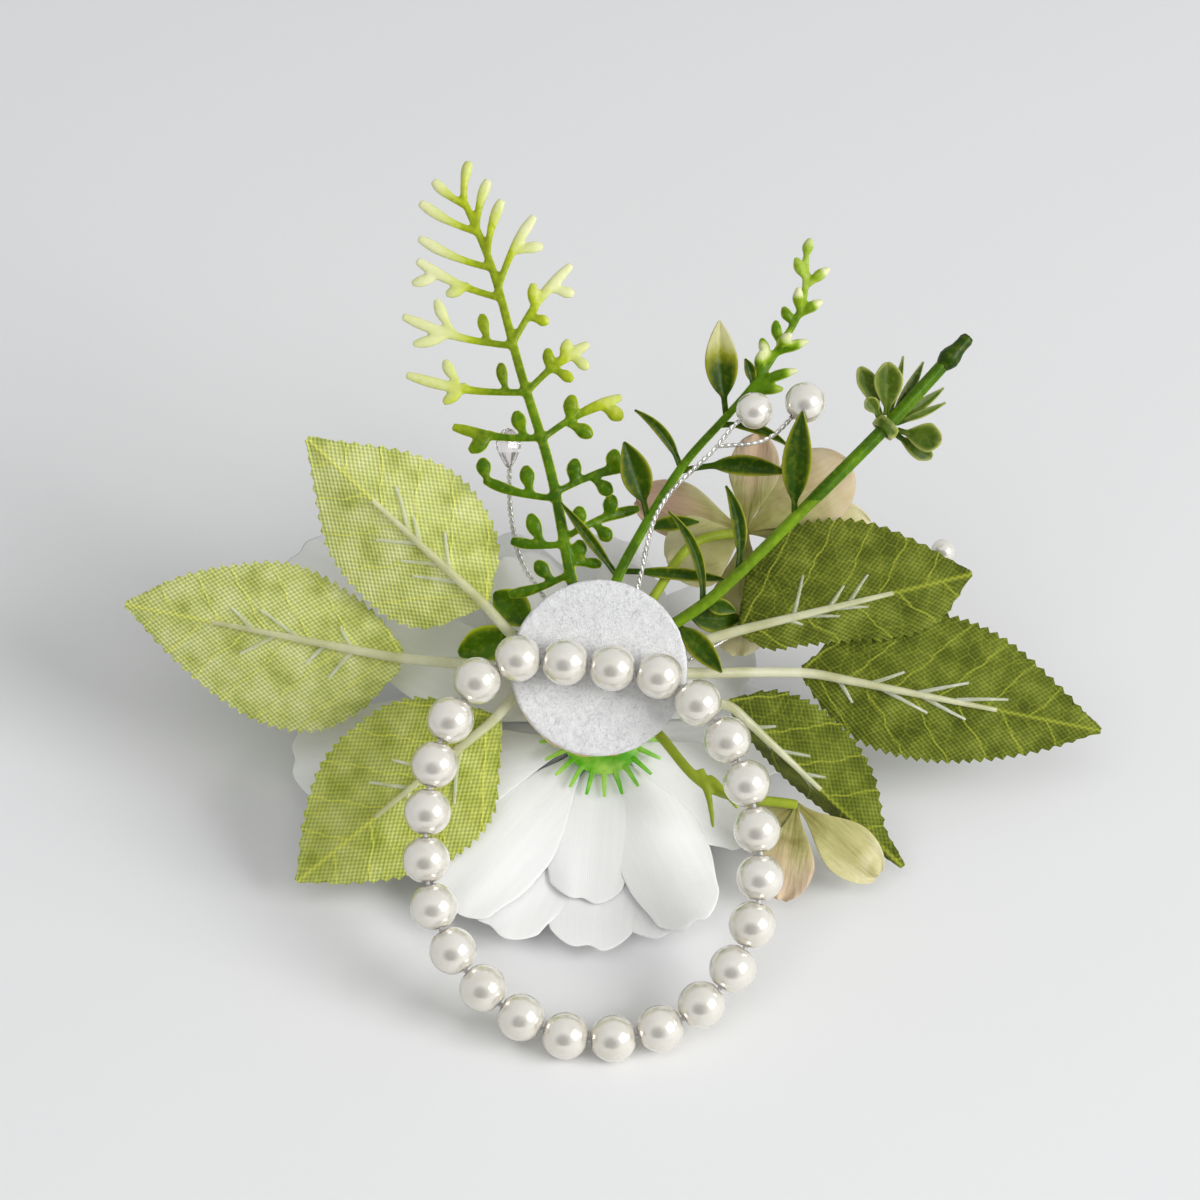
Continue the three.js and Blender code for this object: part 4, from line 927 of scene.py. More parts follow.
# Each branch: the height on the stem where it grows, its reach, and its lobes, each with the share of the
# branch where it grows and its reach across and up
FERN_BRANCHES = [
    (80.2, (0.9, 6.8, -0.5), []),
    (79.2, (-5.7, 4.4, 0), []),
    (75.4, (2, 8.4, -1), []),
    (74.6, (-10.1, 5.2, 0), []),
    (71, (2.5, 9.2, 0.5), []),
    (68.4, (-12.7, 5.3, -0.5), []),
    (65, (6.2, 12.4, 0), [(0.5, (4.6, 1))]),
    (63.2, (-14.5, 6.5, 0), [(0.38, (-4, -1.8)), (0.7, (-5.2, -2))]),
    (55.4, (10, 13.6, -1), [(0.32, (3, -0.8)), (0.4, (-0.5, 5)), (0.68, (3.7, -0.8))]),
    (55, (-19, 5.1, 0), [(0.23, (-1, 4.4)), (0.52, (-7.3, -2.4)), (0.56, (-2.6, 5.2))]),
    (47, (10.6, 8.4, -1), [(0.4, (-0.6, 4.3)), (0.45, (3.1, -1.8)), (0.6, (0.8, 4.1)), (0.72, (2.9, -2))]),
    (47, (-20.6, 3, 0), [(0.17, (-0.9, 4.6)), (0.5, (-4, -3.3)), (0.57, (-2.3, 3.9))]),
    (39.2, (-15.2, 1.9, 0), [(0.18, (-1.6, 4.3)), (0.55, (-4, -3.4))]),
    (39, (13.6, 7.3, -2), [(0.34, (4, -2.1)), (0.36, (0.4, 5)), (0.75, (3.6, -2))]),
    (29.8, (14.4, 5, -3), [(0.22, (0.3, 4.8)), (0.45, (3, -2.6)), (0.66, (0.9, 4.2))]),
    (28.8, (-12.5, 3.2, 0), [(0.34, (-1, 4.6)), (0.94, (-0.9, 4))]),
    (22, (12.8, 5.2, -4.5), [(0.22, (0, 4.4)), (0.42, (2.6, -2.6)), (0.6, (0.8, 4.4))]),
    (21, (-9.2, 0.6, 0), [(0.4, (-2.2, 5))]),
    (17.6, (5.6, 0, -1.6), [(0.4, (-0.2, 4.2))]),
    (16, (-10.4, -3.6, 0), [(0.28, (-2.8, 3.2))]),
]


def glued_line(degrees, depth, route):
    """A stem's line: straight out of the glue's rim, and on through places on the pad."""
    start = [out_of_glue(degrees, depth, run) for run in (0, STEM_STRAIGHT_RUN)]
    return start + [Vector(point) for point in route]


def along_route(points, share):
    """A place some share along a smooth line through points."""
    runs = [(b - a).length for a, b in zip(points, points[1:])]
    left = share * sum(runs)
    for index, run in enumerate(runs):
        if left <= run or index == len(runs) - 1:
            a, b = points[index], points[index + 1]
            before = points[index - 1] if index else a - (b - a)
            after = points[index + 2] if index + 2 < len(points) else b + (b - a)
            leave = (b - before) * run / ((b - before).length + 1e-9)
            arrive = (after - a) * run / ((after - a).length + 1e-9)
            return smooth_between(a, b, leave, arrive, min(1, left / run))
        left -= run


def at_height(points, y):
    """Where a line that climbs the spray passes a height."""
    low, high = 0, 1
    for _ in range(20):
        middle = (low + high) / 2
        low, high = (middle, high) if along_route(points, middle).y < y else (low, middle)
    return along_route(points, low)


def lobe_route(start, end, shares):
    """A finger that bows a little, its thickness given at even stations."""
    bow = Vector((start.y - end.y, end.x - start.x, 0)) * 0.05
    last = len(shares) - 1
    return [(start.lerp(end, i / last) + bow * math.sin(math.pi * i / last), share)
            for i, share in enumerate(shares)]


def grooved_stem(points, steps, start_share, end_share, spread):
    """Two rods side by side that melt into one stem with a groove along it."""
    routes = []
    for hand in (-1, 1):
        route = []
        for share in even_shares(steps):
            thick = start_share + (end_share - start_share) * share
            route.append((along_route(points, share) + Vector((hand * spread * thick, 0, 0)), thick))
        routes.append(route)
    return routes


def melted(name, routes, thickness, voxel, smoothing):
    """Rods on the pad melted into one smooth moulding."""
    piece = pad_rods(name, routes, thickness, sides=10)
    apply_modifier(piece, "REMESH", mode="VOXEL", voxel_size=voxel * MM, use_smooth_shade=True)
    apply_modifier(piece, "SMOOTH", factor=0.5, iterations=smoothing)
    return piece


def to_pad(place):
    """A place in metres as millimetres on the pad."""
    offset = (place - PAD_MIDDLE) / MM
    return Vector((offset.dot(ACROSS), offset.dot(UPWARD), offset.dot(WRISTWARD)))


def store(piece, **values):
    """Stores lists of values on the piece's vertices, under their names."""
    for name, numbers in values.items():
        piece.data.attributes.new(name, "FLOAT", "POINT").data.foreach_set("value", numbers)


def paint(piece, cream_at=None, rim_at=None):
    """Stores on each vertex how far cream paint covers it, and how much rim colour it takes: by default
    painted edge light, brighter where the surface turns edge-on to the wrist side, as if lit through its thin
    edges.
    """
    creams, rims = [], []
    for vertex in piece.data.vertices:
        place = to_pad(vertex.co)
        # Painted light: the rim value rises where the surface turns edge-on to the wrist side.
        painted_edge_light = soft_step(0.28, 0.6, 1 - abs(vertex.normal.dot(WRISTWARD)))
        creams.append(cream_at(place) if cream_at else 0)
        rims.append(rim_at(place, painted_edge_light) if rim_at else painted_edge_light)
    store(piece, cream=creams, rim=rims)


def stored(tree, name):
    """The values stored under a name."""
    return add_node(tree, "Attribute", attribute_name=name).outputs["Fac"]


def moulded_plastic(name, deep, body, rim, cream, roughness):
    """Moulded greenery: mottled green, yellower by its stored rim value, which on most pieces is painted edge
    light, fading to cream where it is painted.
    """
    finish, tree, shader = new_finish(name, roughness, Specular_IOR_Level=0.14, Subsurface_Weight=0.1,
                                      Subsurface_Radius=(0.001, 0.0015, 0.0005))
    colour = colour_ramp(tree, noise_field(tree, 160, 4, 0.6), [(0.35, deep), (0.65, body)])
    speckle = noise_field(tree, 1000, 3)
    middle = 0.5 * PAINT_RAGGEDNESS
    # The rim coat: painted edge light on most pieces, a yellow moulded rim on the pressed leaves.
    coats = (("rim", rim, 0, 1), ("cream", rim, 0, 0.5), ("cream", cream, 0.4, 1))
    for coat, paint_colour, low, high in coats:
        ragged = math_node(tree, "MULTIPLY_ADD", speckle, PAINT_RAGGEDNESS, stored(tree, coat))
        cover = map_range(tree, ragged, (low + middle, high + middle))
        colour = mixed(tree, cover, colour, (*paint_colour, 1))
    set_inputs(tree, shader, {"Base Color": colour})
    bump_from(tree, shader, noise_field(tree, 1300, 4), 0.05)
    return finish


fern_line = glued_line(FERN_EXIT, FERN_DEPTH, FERN_ROUTE)
fern_random = random.Random(3)
fern_routes = grooved_stem(fern_line, steps=14, start_share=0.66, end_share=0.42, spread=0.5)
for height, reach, lobes in FERN_BRANCHES:
    start = at_height(fern_line, height)
    end = start + Vector((reach[0], reach[1], reach[2] / FERN_FLATNESS))
    fern_routes.append(lobe_route(start, end, FERN_FINGER))
    for share, lobe in lobes:
        root = start.lerp(end, share)
        lean = fern_random.uniform(-FERN_LOBE_LEAN, FERN_LOBE_LEAN)
        lobe_shares = SLIM_LOBE if height > SLIM_LOBE_HEIGHT else ROUND_LOBE
        fern_routes.append(lobe_route(root, root + Vector((*lobe, lean)), lobe_shares))
fern = melted("moulded_fern", fern_routes, FERN_THICKNESS, FERN_VOXEL, smoothing=5)
fern_stations = [along_route(fern_line, share) for share in even_shares(60)]


def stem_near(y):
    """The stem's place nearest in height."""
    return min(fern_stations, key=lambda place: abs(place.y - y))


def cream_on_fern(place):
    """How much cream paint the fern carries: more towards its top and towards the branches' ends."""
    from_stem = abs(place.x - stem_near(place.y).x)
    tip = soft_step(4, 14, from_stem + 0.16 * (place.y - 50)) * soft_step(34, 52, place.y)
    return 0.3 * soft_step(30, 82, place.y) + 0.7 * tip + 0.3 * soft_step(78, 88, place.y)


for vertex in fern.data.vertices:
    place = to_pad(vertex.co)
    stem_place = stem_near(place.y)
    flat = 1 - (1 - FERN_FLATNESS) * soft_step(1, 3, abs(place.x - stem_place.x))
    vertex.co = on_pad(place.x, place.y, stem_place.z + (place.z - stem_place.z) * flat)
# Painted light: the fern's rim value, and so its yellow-green rim colour, brightens where it turns edge-on to
# the wrist side.
paint(fern, cream_on_fern)
fern_finish = moulded_plastic(
    "fern_plastic", deep=(0.036, 0.1, 0.001), body=(0.088, 0.195, 0.002), rim=(0.5, 0.58, 0.025),
    cream=(0.78, 0.79, 0.46), roughness=0.26)
hand_over(fern, fern_finish, "fern_sprig")

# Leafy sprig: a bent, grooved plastic stem with narrow pressed leaves and a spike of small buds at its end.
# The leaves are moulded dark green with a thin yellow rim. The buds and the largest leaf fade to cream.
SPRIG_THICKNESS = 2.2
SPRIG_EXIT = 80
SPRIG_DEPTH = -2.5
SPRIG_ROUTE = [(13.9, 33.9, -5), (21.6, 42.6, -5.6), (27, 48.8, -6), (31.7, 56.1, -6.8), (34.6, 60.8, -7.2),
               (35.6, 65.4, -7.6), (35.5, 70.2, -8)]
# Each leaf: the height on the stem where it grows, its tip, its width, how far its middle bows to its right
# and towards the wrist, the share of it that is stalk, and the share of it where cream paint starts
SPRIG_LEAVES = [
    (15.6, (-6.4, 28, -1.2), 1.8, (0.3, 0.6), 0.1, 2),
    (16.4, (22.4, 14.8, -4.6), 2.1, (-0.8, 0.4), 0.15, 2),
    (23.6, (17.2, 24.8, -4.8), 2.6, (-0.8, 0.4), 0.15, 2),
    (25, (4.3, 38.4, -1.6), 5.2, (0.8, 0.8), 0.24, 2),
    (33.4, (32.2, 33.1, -3.4), 3.5, (-2.6, 0.8), 0.3, 2),
    (34, (6.1, 43.9, -3.4), 1.8, (2.6, 0.6), 0.12, 2),
    (41.4, (32.4, 37.8, -5), 1.7, (-2.6, 0.4), 0.12, 2),
    (42.8, (20.6, 59.2, -4), 5.6, (-0.4, 1), 0.2, 0.5),
    (48, (25, 52.8, -5.6), 1.8, (0.6, 0.3), 0.15, 2),
]
# Two loose leaves of the sprig are caught in the glue on the left. Each: its base, its tip and its form
GLUED_LEAVES = [
    ((-11.5, 5.6, -5), (-24.2, 2.2, -8.6), 7, (0.6, 0.6), 0.1, 2, 0.5),
    ((-11.2, 6.6, -5.2), (-18, 12.8, -6.8), 6.4, (0.4, 0.5), 0.1, 2, 0.3),
]
# Each bud: the height on the stem where it grows, its tip, and how much cream paint it carries
SPRIG_BUDS = [
    (46.8, (31.6, 47.6, -6.4), 0.5),
    (47.8, (34, 50.8, -5.6), 0.9),
    (49.4, (27.9, 54.2, -5.2), 0.9),
    (52.4, (27.9, 56.4, -7), 0),
    (53.2, (35.8, 55.8, -6), 0.9),
    (54, (32.8, 57, -4.4), 1),
    (55, (30.3, 59.4, -6), 0),
    (58.6, (31.6, 61.8, -7.4), 0),
    (59.8, (38.4, 62.8, -7.6), 1),
    (60.4, (34.2, 65, -5.4), 1),
    (65, (39.6, 68.4, -8), 1),
    (66.2, (33.8, 70.2, -7), 0.5),
    (69.6, (36.4, 73.6, -8.2), 0.7),
]
# The shares of the thickness along a bud
BUD = [0.36, 0.4, 0.6, 0.92, 0.94, 0.75, 0.35]
PRESSED_THICKNESS = 0.5
PRESSED_STALK = 0.42
PRESSED_HOLLOW = 0.2
PRESSED_CREASE_DEPTH = 0.1
PRESSED_CREASE_WIDTH = 0.16


def pressed_leaf(finish, base, tip, width, bow, stalk, cream_start, blunt=0.0):
    """A moulded leaf on a stalk, creased along its middle, between two places on the pad."""
    base, tip = Vector(base), Vector(tip)
    line = tip - base
    side = Vector((line.y, -line.x, 0)).normalized()
    middle = (base + tip) / 2 + side * bow[0] + Vector((0, 0, bow[1]))
    rims, creams = [], []

    def leaf_shape(t, v):
        """A thin stalk and a lance or spoon shape, hollow across, with a crease along its middle."""
        place, along = bowed_line(base, middle, tip, t)
        across = along.cross(Vector((0, 0, 1))).normalized()
        face = across.cross(along)
        run = max(0, (t - stalk) / (1 - stalk))
        lance = math.sin(math.pi * run**0.85) ** 0.85
        spoon = math.sin(math.pi / 2 * min(1, run / 0.7)) ** 1.3
        spoon *= math.sqrt(max(0, 1 - max(0, run - 0.72) / 0.29))
        half = width / 2 * (lance + (spoon - lance) * blunt)
        half = max(half, PRESSED_STALK * (1 - 0.7 * run))
        crease = PRESSED_CREASE_DEPTH * math.exp(-((v / PRESSED_CREASE_WIDTH) ** 2))
        hollow = half * (PRESSED_HOLLOW * abs(v) ** 1.5 - crease)
        rims.append(soft_step(0.7, 1, abs(v)) * soft_step(0, 0.3, run))
        creams.append(0.9 * soft_step(cream_start, cream_start + 0.4, t + 0.1 * abs(v)))
        return on_pad(*(place + across * half * v + face * hollow)), (line.length * t, half * v)

    leaf = shaped_grid("pressed_leaf", rows=24, columns=10, shape=leaf_shape)
    store(leaf, rim=rims, cream=creams)
    thicken(leaf, PRESSED_THICKNESS)
    leaf.data.materials.append(finish)
    return leaf


def cream_on_spike(place):
    """How much cream paint the stem carries: on its buds, and a little on the whole end of the spike."""
    on_buds = [cream * (1 - soft_step(1.1, 2.8, (place - Vector(tip)).length))
               for _, tip, cream in SPRIG_BUDS]
    return max(*on_buds, 0.45 * soft_step(57, 66, place.y))


sprig_line = glued_line(SPRIG_EXIT, SPRIG_DEPTH, SPRIG_ROUTE)
sprig_routes = grooved_stem(sprig_line, steps=18, start_share=0.66, end_share=0.4, spread=0.45)
for height, tip, _ in SPRIG_BUDS:
    sprig_routes.append(lobe_route(at_height(sprig_line, height), Vector(tip), BUD))
sprig_stem = melted("sprig_stem", sprig_routes, SPRIG_THICKNESS, voxel=0.26, smoothing=4)
# Painted light: the stem's yellow-green edges brighten where it turns edge-on to the wrist side.
paint(sprig_stem, cream_on_spike)
stem_finish = moulded_plastic(
    "stem_plastic", deep=(0.045, 0.115, 0.001), body=(0.095, 0.21, 0.002), rim=(0.32, 0.47, 0.02),
    cream=(0.74, 0.75, 0.42), roughness=0.26)
dark_finish = moulded_plastic(
    "sprig_leaf_plastic", deep=(0.016, 0.046, 0.001), body=(0.033, 0.077, 0.001), rim=(0.3, 0.31, 0.02),
    cream=(0.62, 0.6, 0.32), roughness=0.3)
sprig_stem.data.materials.append(stem_finish)
sprig_leaves = [pressed_leaf(fern_finish, *form) for form in GLUED_LEAVES]
for height, *form in SPRIG_LEAVES:
    sprig_leaves.append(pressed_leaf(dark_finish, at_height(sprig_line, height), *form))
sprig = join_pieces([sprig_stem, *sprig_leaves], "moulded_sprig")
hand_over(sprig, None, "leafy_sprig")

# Capped stem: a green plastic rod with mould ridges, brighter and thinner below its joint, with six leaves.
# A dark bud cap is moulded on its end.
CAPPED_THICKNESS = 2.4
CAPPED_EXIT = 30
CAPPED_DEPTH = -2.6
CAPPED_ROUTE = [(20, 12.5, -1.6), (35.4, 27.5, -2.5), (49, 41, -5), (59.2, 52, -7)]
CAPPED_JOINT = 28.5
CAP_PROFILE = [(0, -0.8), (1.1, -0.8), (1.5, 0), (1.85, 1), (1.75, 2.1), (1.3, 3.4), (1.2, 4.6), (1.25, 5.6),
               (0.95, 6.3), (0, 6.5)]
# Its leaves, given as the sprig's leaves are
CAPPED_LEAVES = [
    (7.6, (20.9, -0.8, -1), 4, (-0.4, 0.4), 0.1, 2),
    (8.8, (24.6, 8.4, -9), 5, (0.4, 0.2), 0.1, 2),
    (10.6, (11.8, 26.6, -1.2), 1.8, (4, 0.4), 0.1, 2),
    (10.6, (23.4, 9.4, -3), 2.8, (-0.8, 0.4), 0.1, 2),
    (15.6, (21.6, 31, -2.4), 2.4, (3, 0.4), 0.2, 2),
    (25.4, (34.3, 43.2, 4.4), 5, (-0.6, -1), 0.16, 2),
]
LOWER_ROD_SHARE = 0.88
RIDGES = 5
RIDGE_STEPS = 40
RIDGE_OFFSET = 0.62
RIDGE_SHARE = 0.52
capped_line = glued_line(CAPPED_EXIT, CAPPED_DEPTH, CAPPED_ROUTE)
ridges = []
for ridge in range(RIDGES):
    turn = 2 * math.pi * ridge / RIDGES + 0.4
    route = []
    for share in even_shares(RIDGE_STEPS):
        place = along_route(capped_line, share)
        size = LOWER_ROD_SHARE if place.y < CAPPED_JOINT else 1
        out = Vector((math.cos(turn) * 0.7, -math.cos(turn) * 0.7, math.sin(turn))) * RIDGE_OFFSET * size
        route.append((place + out, RIDGE_SHARE * size))
    ridges.append(route)
capped_stem = melted("capped_rod", ridges, CAPPED_THICKNESS, voxel=0.26, smoothing=3)
# Below the joint the rod takes a fixed share of the lime colour; above it, painted edge light where it turns
# edge-on to the wrist side.
paint(capped_stem, rim_at=lambda place, painted_edge_light: 0.3 if place.y < CAPPED_JOINT else 0.25 * painted_edge_light)
cap = turned_piece("bud_cap", CAP_PROFILE, steps=32)
stem_end = on_pad(*capped_line[-1])
cap.data.transform(standing_along(stem_end, stem_end - on_pad(*along_route(capped_line, 0.95))))
paint(cap, rim_at=lambda place, painted_edge_light: 0)
capped_stem.data.materials.append(stem_finish)
cap.data.materials.append(dark_finish)
capped_leaves = []
for height, *form in CAPPED_LEAVES:
    capped_leaves.append(pressed_leaf(dark_finish, at_height(capped_line, height), *form))
capped = join_pieces([capped_stem, cap, *capped_leaves], "capped_rod")
hand_over(capped, None, "capped_stem")

# Rosette: a collar of blunt moulded leaves and thin bracts, slipped over the capped stem.
# The leaves are olive with a paler rim and stand out round the stem.
ROSETTE_HEIGHT = 41
ROSETTE_LEAF_START = 2
ROSETTE_COLLAR = [(1.5, -1), (2.2, -1), (2.35, 0), (2.2, 1), (1.5, 1)]
# Each leaf: its reach from the middle of the collar, its width, and how blunt its end is
ROSETTE_LEAVES = [
    ((-4.5, 10.3, 0.5), 3.4, 0.9),
    ((0.2, 11, 2.2), 5.2, 0.7),
    ((-3.4, 4.8, 1.6), 2.6, 0.9),
    ((9.4, -2.2, 2), 5, 1),
    ((8.2, -5.1, -2), 3.2, 0.9),
    ((3.2, 12.4, -2), 1.2, 0),
    ((6.8, 11.5, -3.4), 1.7, 0),
    ((10.4, 7, -4), 1.7, 0),
    ((10.6, 4.4, -2.6), 1.2, 0),
]
rosette_place = at_height(capped_line, ROSETTE_HEIGHT)
collar = turned_piece("rosette_collar", [*ROSETTE_COLLAR, ROSETTE_COLLAR[0]], steps=32)
collar_place = on_pad(*rosette_place)
collar_direction = on_pad(*at_height(capped_line, ROSETTE_HEIGHT + 1)) - collar_place
collar.data.transform(standing_along(collar_place, collar_direction))
# Painted light: the collar's rim value brightens where it turns edge-on to the wrist side.
paint(collar)
rosette_finish = moulded_plastic(
    "rosette_plastic", deep=(0.03, 0.07, 0.002), body=(0.085, 0.138, 0.01), rim=(0.38, 0.41, 0.1),
    cream=(0.6, 0.58, 0.3), roughness=0.34)
collar.data.materials.append(rosette_finish)
rosette_leaves = []
for reach, width, blunt in ROSETTE_LEAVES:
    tip = rosette_place + Vector(reach)
    base = rosette_place + Vector(reach).normalized() * ROSETTE_LEAF_START
    rosette_leaves.append(pressed_leaf(rosette_finish, base, tip, width, bow=(0.4, 0.4), stalk=0.1,
                                       cream_start=0.85, blunt=blunt))
rosette = join_pieces([collar, *rosette_leaves], "moulded_rosette")
hand_over(rosette, None, "stem_rosette")

# Filler blossoms: soft cloth petals, beige-green with a pink flush and painted shade towards their feet, set
# on green plastic stems.
# One shows behind the upper right leaves and one under the lower right leaf.
FLORET_STEM_THICKNESS = 1.8
FLORET_THICKNESS = 0.3
FLORET_SEAT = 1
FLORET_BOW = 1.2
FLORET_RIPPLE = 0.5
FLORET_CREASE_DEPTH = 0.9
FLORET_CREASE_WIDTH = 0.14
FLORET_PETAL_STEP = 0.15
# Each blossom: where its stem leaves the glue, the bend and head of the stem, and its petals, each with
# the place of its tip, its width, and how pink it is. The lower stem has a joint with two curled sepals
FLORETS = {
    "upper": {"exit": 52, "depth": -5, "bend": (16, 21, -6.5), "head": (25.4, 23.4, -11.4), "petals": [
        ((11.8, 17.8, -12), 13, 0.05), ((6.4, 29.4, -15), 10, 0.75), ((27.7, 40.4, -14.4), 9, 0.6),
        ((43.8, 35, -15), 14, 0.35), ((47.6, 24, -17.5), 11, 0.1), ((24.4, 1.6, -15.6), 12, 0.1)]},
    "lower": {"exit": -48, "depth": -4.5, "bend": (19, -20.6, -4.4), "head": (34, -23.6, -7), "petals": [
        ((31.2, -40.2, -9.6), 9.6, 0.5), ((48.4, -36.2, -12), 9.6, 0.05), ((25.4, -28.4, -11), 8, 0.3)]},
}
SEPALS = {
    "upper": [],
    "lower": [((17.2, -17.4, -4.4), (19.4, -27.2, -2.6)), ((18.6, -18.8, -4.2), (23.6, -24, -2.8))],
}
SEPAL = [0.9, 1.05, 0.7, 0.6, 0.5, 0.35]
FLUSH_COLOUR = (0.62, 0.36, 0.31, 1)
cloth_finish, tree, shader = new_finish("blossom_cloth", 0.75, Subsurface_Weight=0.15,
                                        Subsurface_Radius=(0.0015, 0.001, 0.001))
# Random mottle plus painted shade: the stored tone darkens each petal towards its foot and along its middle
# crease.
mottle_and_painted_shade = math_node(tree, "MULTIPLY_ADD", noise_field(tree, 130, 4, 0.8), 0.7, stored(tree, "tone"))
beige = colour_ramp(tree, mottle_and_painted_shade, [
    (0.4, (0.24, 0.22, 0.05)), (0.65, (0.46, 0.43, 0.17)), (0.95, (0.72, 0.68, 0.42))])
set_inputs(tree, shader, {"Base Color": mixed(tree, stored(tree, "flush"), beige, FLUSH_COLOUR)})
bump_from(tree, shader, noise_field(tree, 1, 3, stretch=(0.25, 1.6, 1), source="UV"), 0.25)
filler_stem_finish = moulded_plastic(
    "filler_stem_plastic", deep=(0.15, 0.21, 0.005), body=(0.24, 0.33, 0.012), rim=(0.42, 0.5, 0.05),
    cream=(0.6, 0.6, 0.3), roughness=0.34)
for name, floret in FLORETS.items():
    stem_line = glued_line(floret["exit"], floret["depth"], (floret["bend"], floret["head"]))
    stem_routes = [[(along_route(stem_line, share), 1) for share in even_shares(16)]]
    for joint, tip in SEPALS[name]:
        stem_routes.append(lobe_route(Vector(joint), Vector(tip), SEPAL))
    floret_stem = melted(f"blossom_stem_{name}", stem_routes, FLORET_STEM_THICKNESS, voxel=0.3, smoothing=3)
    paint(floret_stem, rim_at=lambda place, painted_edge_light: 0.5)
    hand_over(floret_stem, filler_stem_finish, f"floret_{name}_stem")
    seat = Vector(floret["head"]) - Vector((0, 0, FLORET_SEAT))
    petals = []
    for number, (tip, width, pinkness) in enumerate(floret["petals"]):
        line = Vector(tip) - seat
        side = line.cross(Vector((0, 0, 1))).normalized()
        face = side.cross(line).normalized()
        flushes, painted_shade_tones = [], []

        def blossom_petal(t, v):
            """A narrow foot and a round end, bowed, rippled, creased, and pinker towards its end."""
            rounding = math.sqrt(max(0.04, 1 - (max(0, t - 0.6) / 0.41) ** 2))
            half = width / 2 * (0.1 + 0.9 * soft_step(0, 0.62, t)) * rounding
            lift = FLORET_BOW * math.sin(math.pi * t) + FLORET_RIPPLE * math.sin(5 * v + 2 * number) * t**2
            crease = FLORET_CREASE_DEPTH * math.exp(-((v / FLORET_CREASE_WIDTH) ** 2)) * t * (1.1 - t)
            lift -= crease + FLORET_PETAL_STEP * number
            place = seat + line * t + side * half * v + face * lift
            flushes.append(pinkness * soft_step(0.25, 0.85, t + 0.1 * math.sin(4 * v + number)))
            # Painted shade: darker towards the foot and along the middle crease.
            painted_shade_tones.append(0.5 * t + 0.12 * v**2)
            return on_pad(*place), (line.length * t, half * v)

        petals.append(shaped_grid("blossom_petal", rows=24, columns=14, shape=blossom_petal))
        store(petals[-1], flush=flushes, tone=painted_shade_tones)
    blossom = join_pieces(petals, f"cloth_blossom_{name}")
    area = thicken(blossom, FLORET_THICKNESS)
    hand_over(blossom, cloth_finish, f"floret_{name}")

# Pearl sprays: two fine silver wires twisted together, with a pearl pushed on each free end.
# One forked spray stands above the felt and one runs behind the right leaves. A third ends in a clear drop.
WIRE_THICKNESS = 0.55
WIRE_PITCH = 2.2
WIRE_STEPS_PER_TURN = 8
STRAND_OFFSET = 0.42
SPRAY_LEAST_BORE = 1.6
SPRAY_EXIT = 64
SPRAY_TRUNK = [(10.3, 27, 0.3), (20, 37.5, 0.5)]
SPRAY_FORKS = [[(23, 41.2, 0.6), (26.4, 43.6, 0.2)], [(28.5, 38.8, 0.6), (35, 45, 0.2)]]
SPRAY_DEPTH = -1.85
SIDE_EXIT = 4
SIDE_DEPTH = -4.7
SIDE_ROUTE = [(28, 8, -14), (46, 15, -20), (60.3, 20, -22)]
CRYSTAL_EXIT = 128
CRYSTAL_DEPTH = -4.7
CRYSTAL_ROUTE = [(-13.4, 18.5, -6.4), (-15.2, 27, -8), (-15.4, 34, -8.4)]
SPRAY_PEARL_RADII = (3.15, 3.5, 2.2)


def twisted_wire(name, lines):
    """Pairs of thin wires twisted round lines on the pad."""
    strands = []
    for line in lines:
        length = sum((b - a).length for a, b in zip(line, line[1:]))
        steps = max(WIRE_STEPS_PER_TURN, round(length / WIRE_PITCH * WIRE_STEPS_PER_TURN))
        for half in (0, math.pi):
            strand = []
            for share in even_shares(steps):
                turn = 2 * math.pi * length / WIRE_PITCH * share + half
                round_line = Vector((math.cos(turn), math.sin(turn) * 0.5, math.sin(turn) * 0.7))
                strand.append((along_route(line, share) + round_line * WIRE_THICKNESS * STRAND_OFFSET, 1))
            strands.append(strand)
    return pad_rods(name, strands, WIRE_THICKNESS, sides=6, smoothness=1)


def line_end(line):
    """The place where a line on the pad ends, and its direction there."""
    end = on_pad(*line[-1])
    return end, end - on_pad(*line[-2])


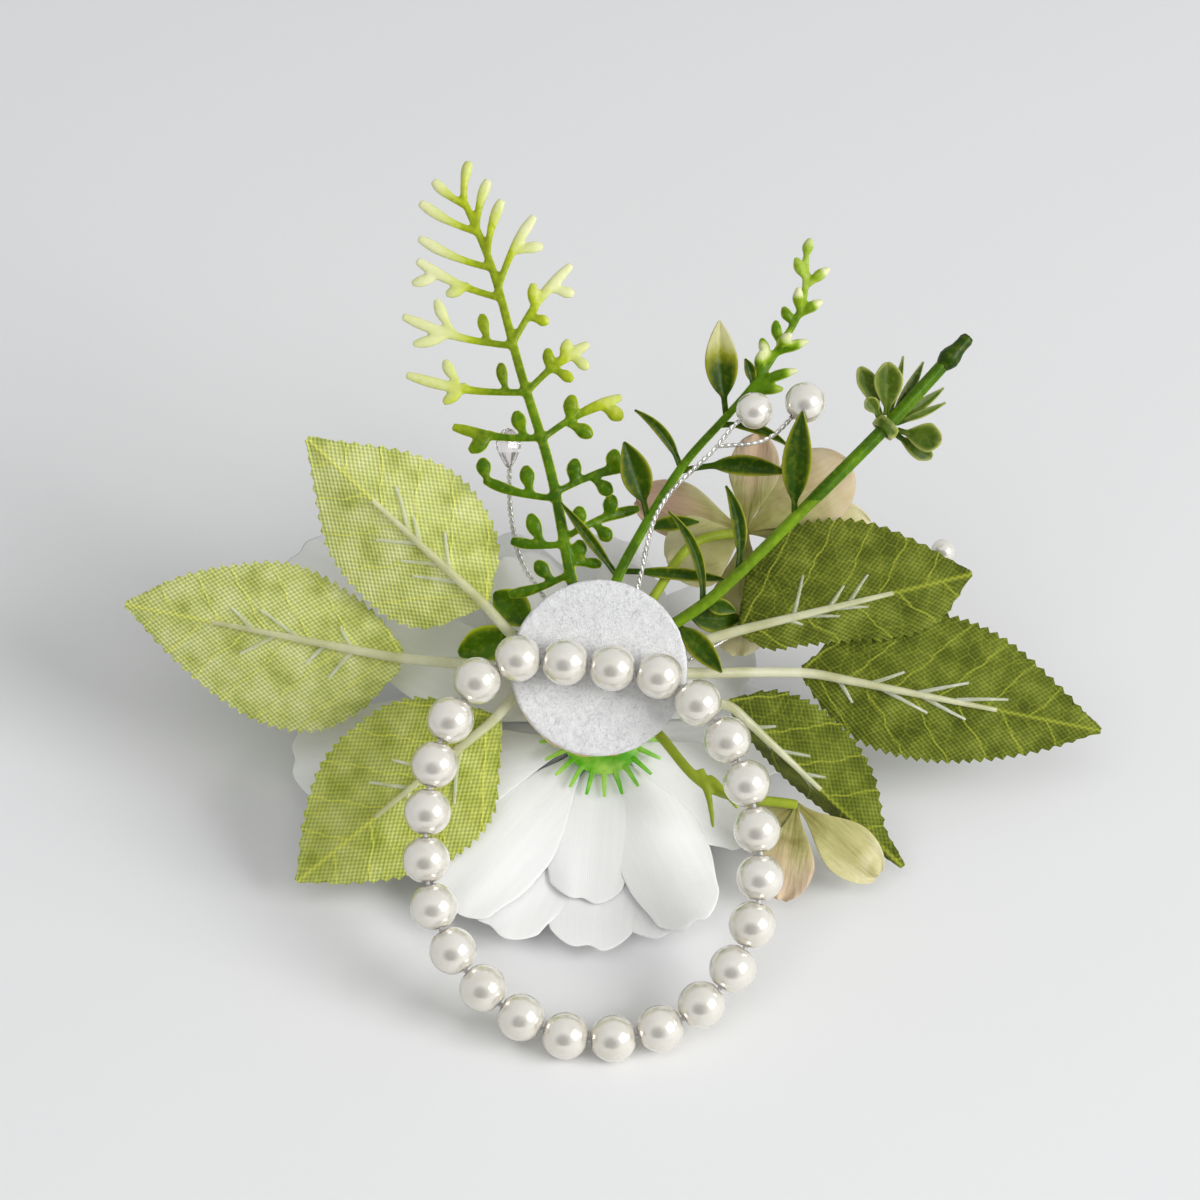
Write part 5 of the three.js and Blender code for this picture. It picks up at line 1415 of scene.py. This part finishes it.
wire_finish = mottled_finish(
    "silver_wire", roughness=0.25, tone=(300, 3),
    stops=[(0.35, (0.5, 0.48, 0.44)), (0.65, (0.8, 0.78, 0.73))],
    Metallic=0.75)
trunk = glued_line(SPRAY_EXIT, SPRAY_DEPTH, SPRAY_TRUNK)
forks = [[trunk[-1], *[Vector(point) for point in fork]] for fork in SPRAY_FORKS]
side_line = glued_line(SIDE_EXIT, SIDE_DEPTH, SIDE_ROUTE)
crystal_line = glued_line(CRYSTAL_EXIT, CRYSTAL_DEPTH, CRYSTAL_ROUTE)
wires = {"spray_wire_upper": [trunk, *forks], "spray_wire_side": [side_line], "crystal_wire": [crystal_line]}
for node, lines in wires.items():
    hand_over(twisted_wire(f"twisted_{node}", lines), wire_finish, node)
for number, (radius, line) in enumerate(zip(SPRAY_PEARL_RADII, (*forks, side_line)), 1):
    pearl = bored_bead(f"spray_bead_{number}", radius, SPRAY_LEAST_BORE)
    pearl.data.transform(standing_along(node_middle(f"spray_pearl_{number}"), line_end(line)[1]))
    hand_over(pearl, pearl_finish, f"spray_pearl_{number}")

# Crystal drop: a clear faceted acrylic drop pushed on the end of its wire.
# Its sides are cut in eight flats and polished.
CRYSTAL_PROFILE = [(0, 0), (0.5, 0.25), (1.3, 1.5), (2.05, 3.3), (2.2, 4.4), (1.75, 5.7), (0.9, 6.7), (0, 7)]
CRYSTAL_FLATS = 8
CRYSTAL_GAP = 0.1
crystal = turned_piece("clear_drop", CRYSTAL_PROFILE, steps=CRYSTAL_FLATS)
wire_end, wire_direction = line_end(crystal_line)
crystal_place = wire_end + wire_direction.normalized() * CRYSTAL_GAP * MM
crystal.data.transform(standing_along(crystal_place, wire_direction))
bpy.ops.object.shade_flat()
crystal_finish = mottled_finish(
    "clear_acrylic", roughness=0.03, tone=(260, 2), stops=[(0.4, (0.97, 0.95, 0.95)), (0.6, (1, 0.9, 0.92))],
    Transmission_Weight=0.9, IOR=1.49)
hand_over(crystal, crystal_finish, "crystal_drop")
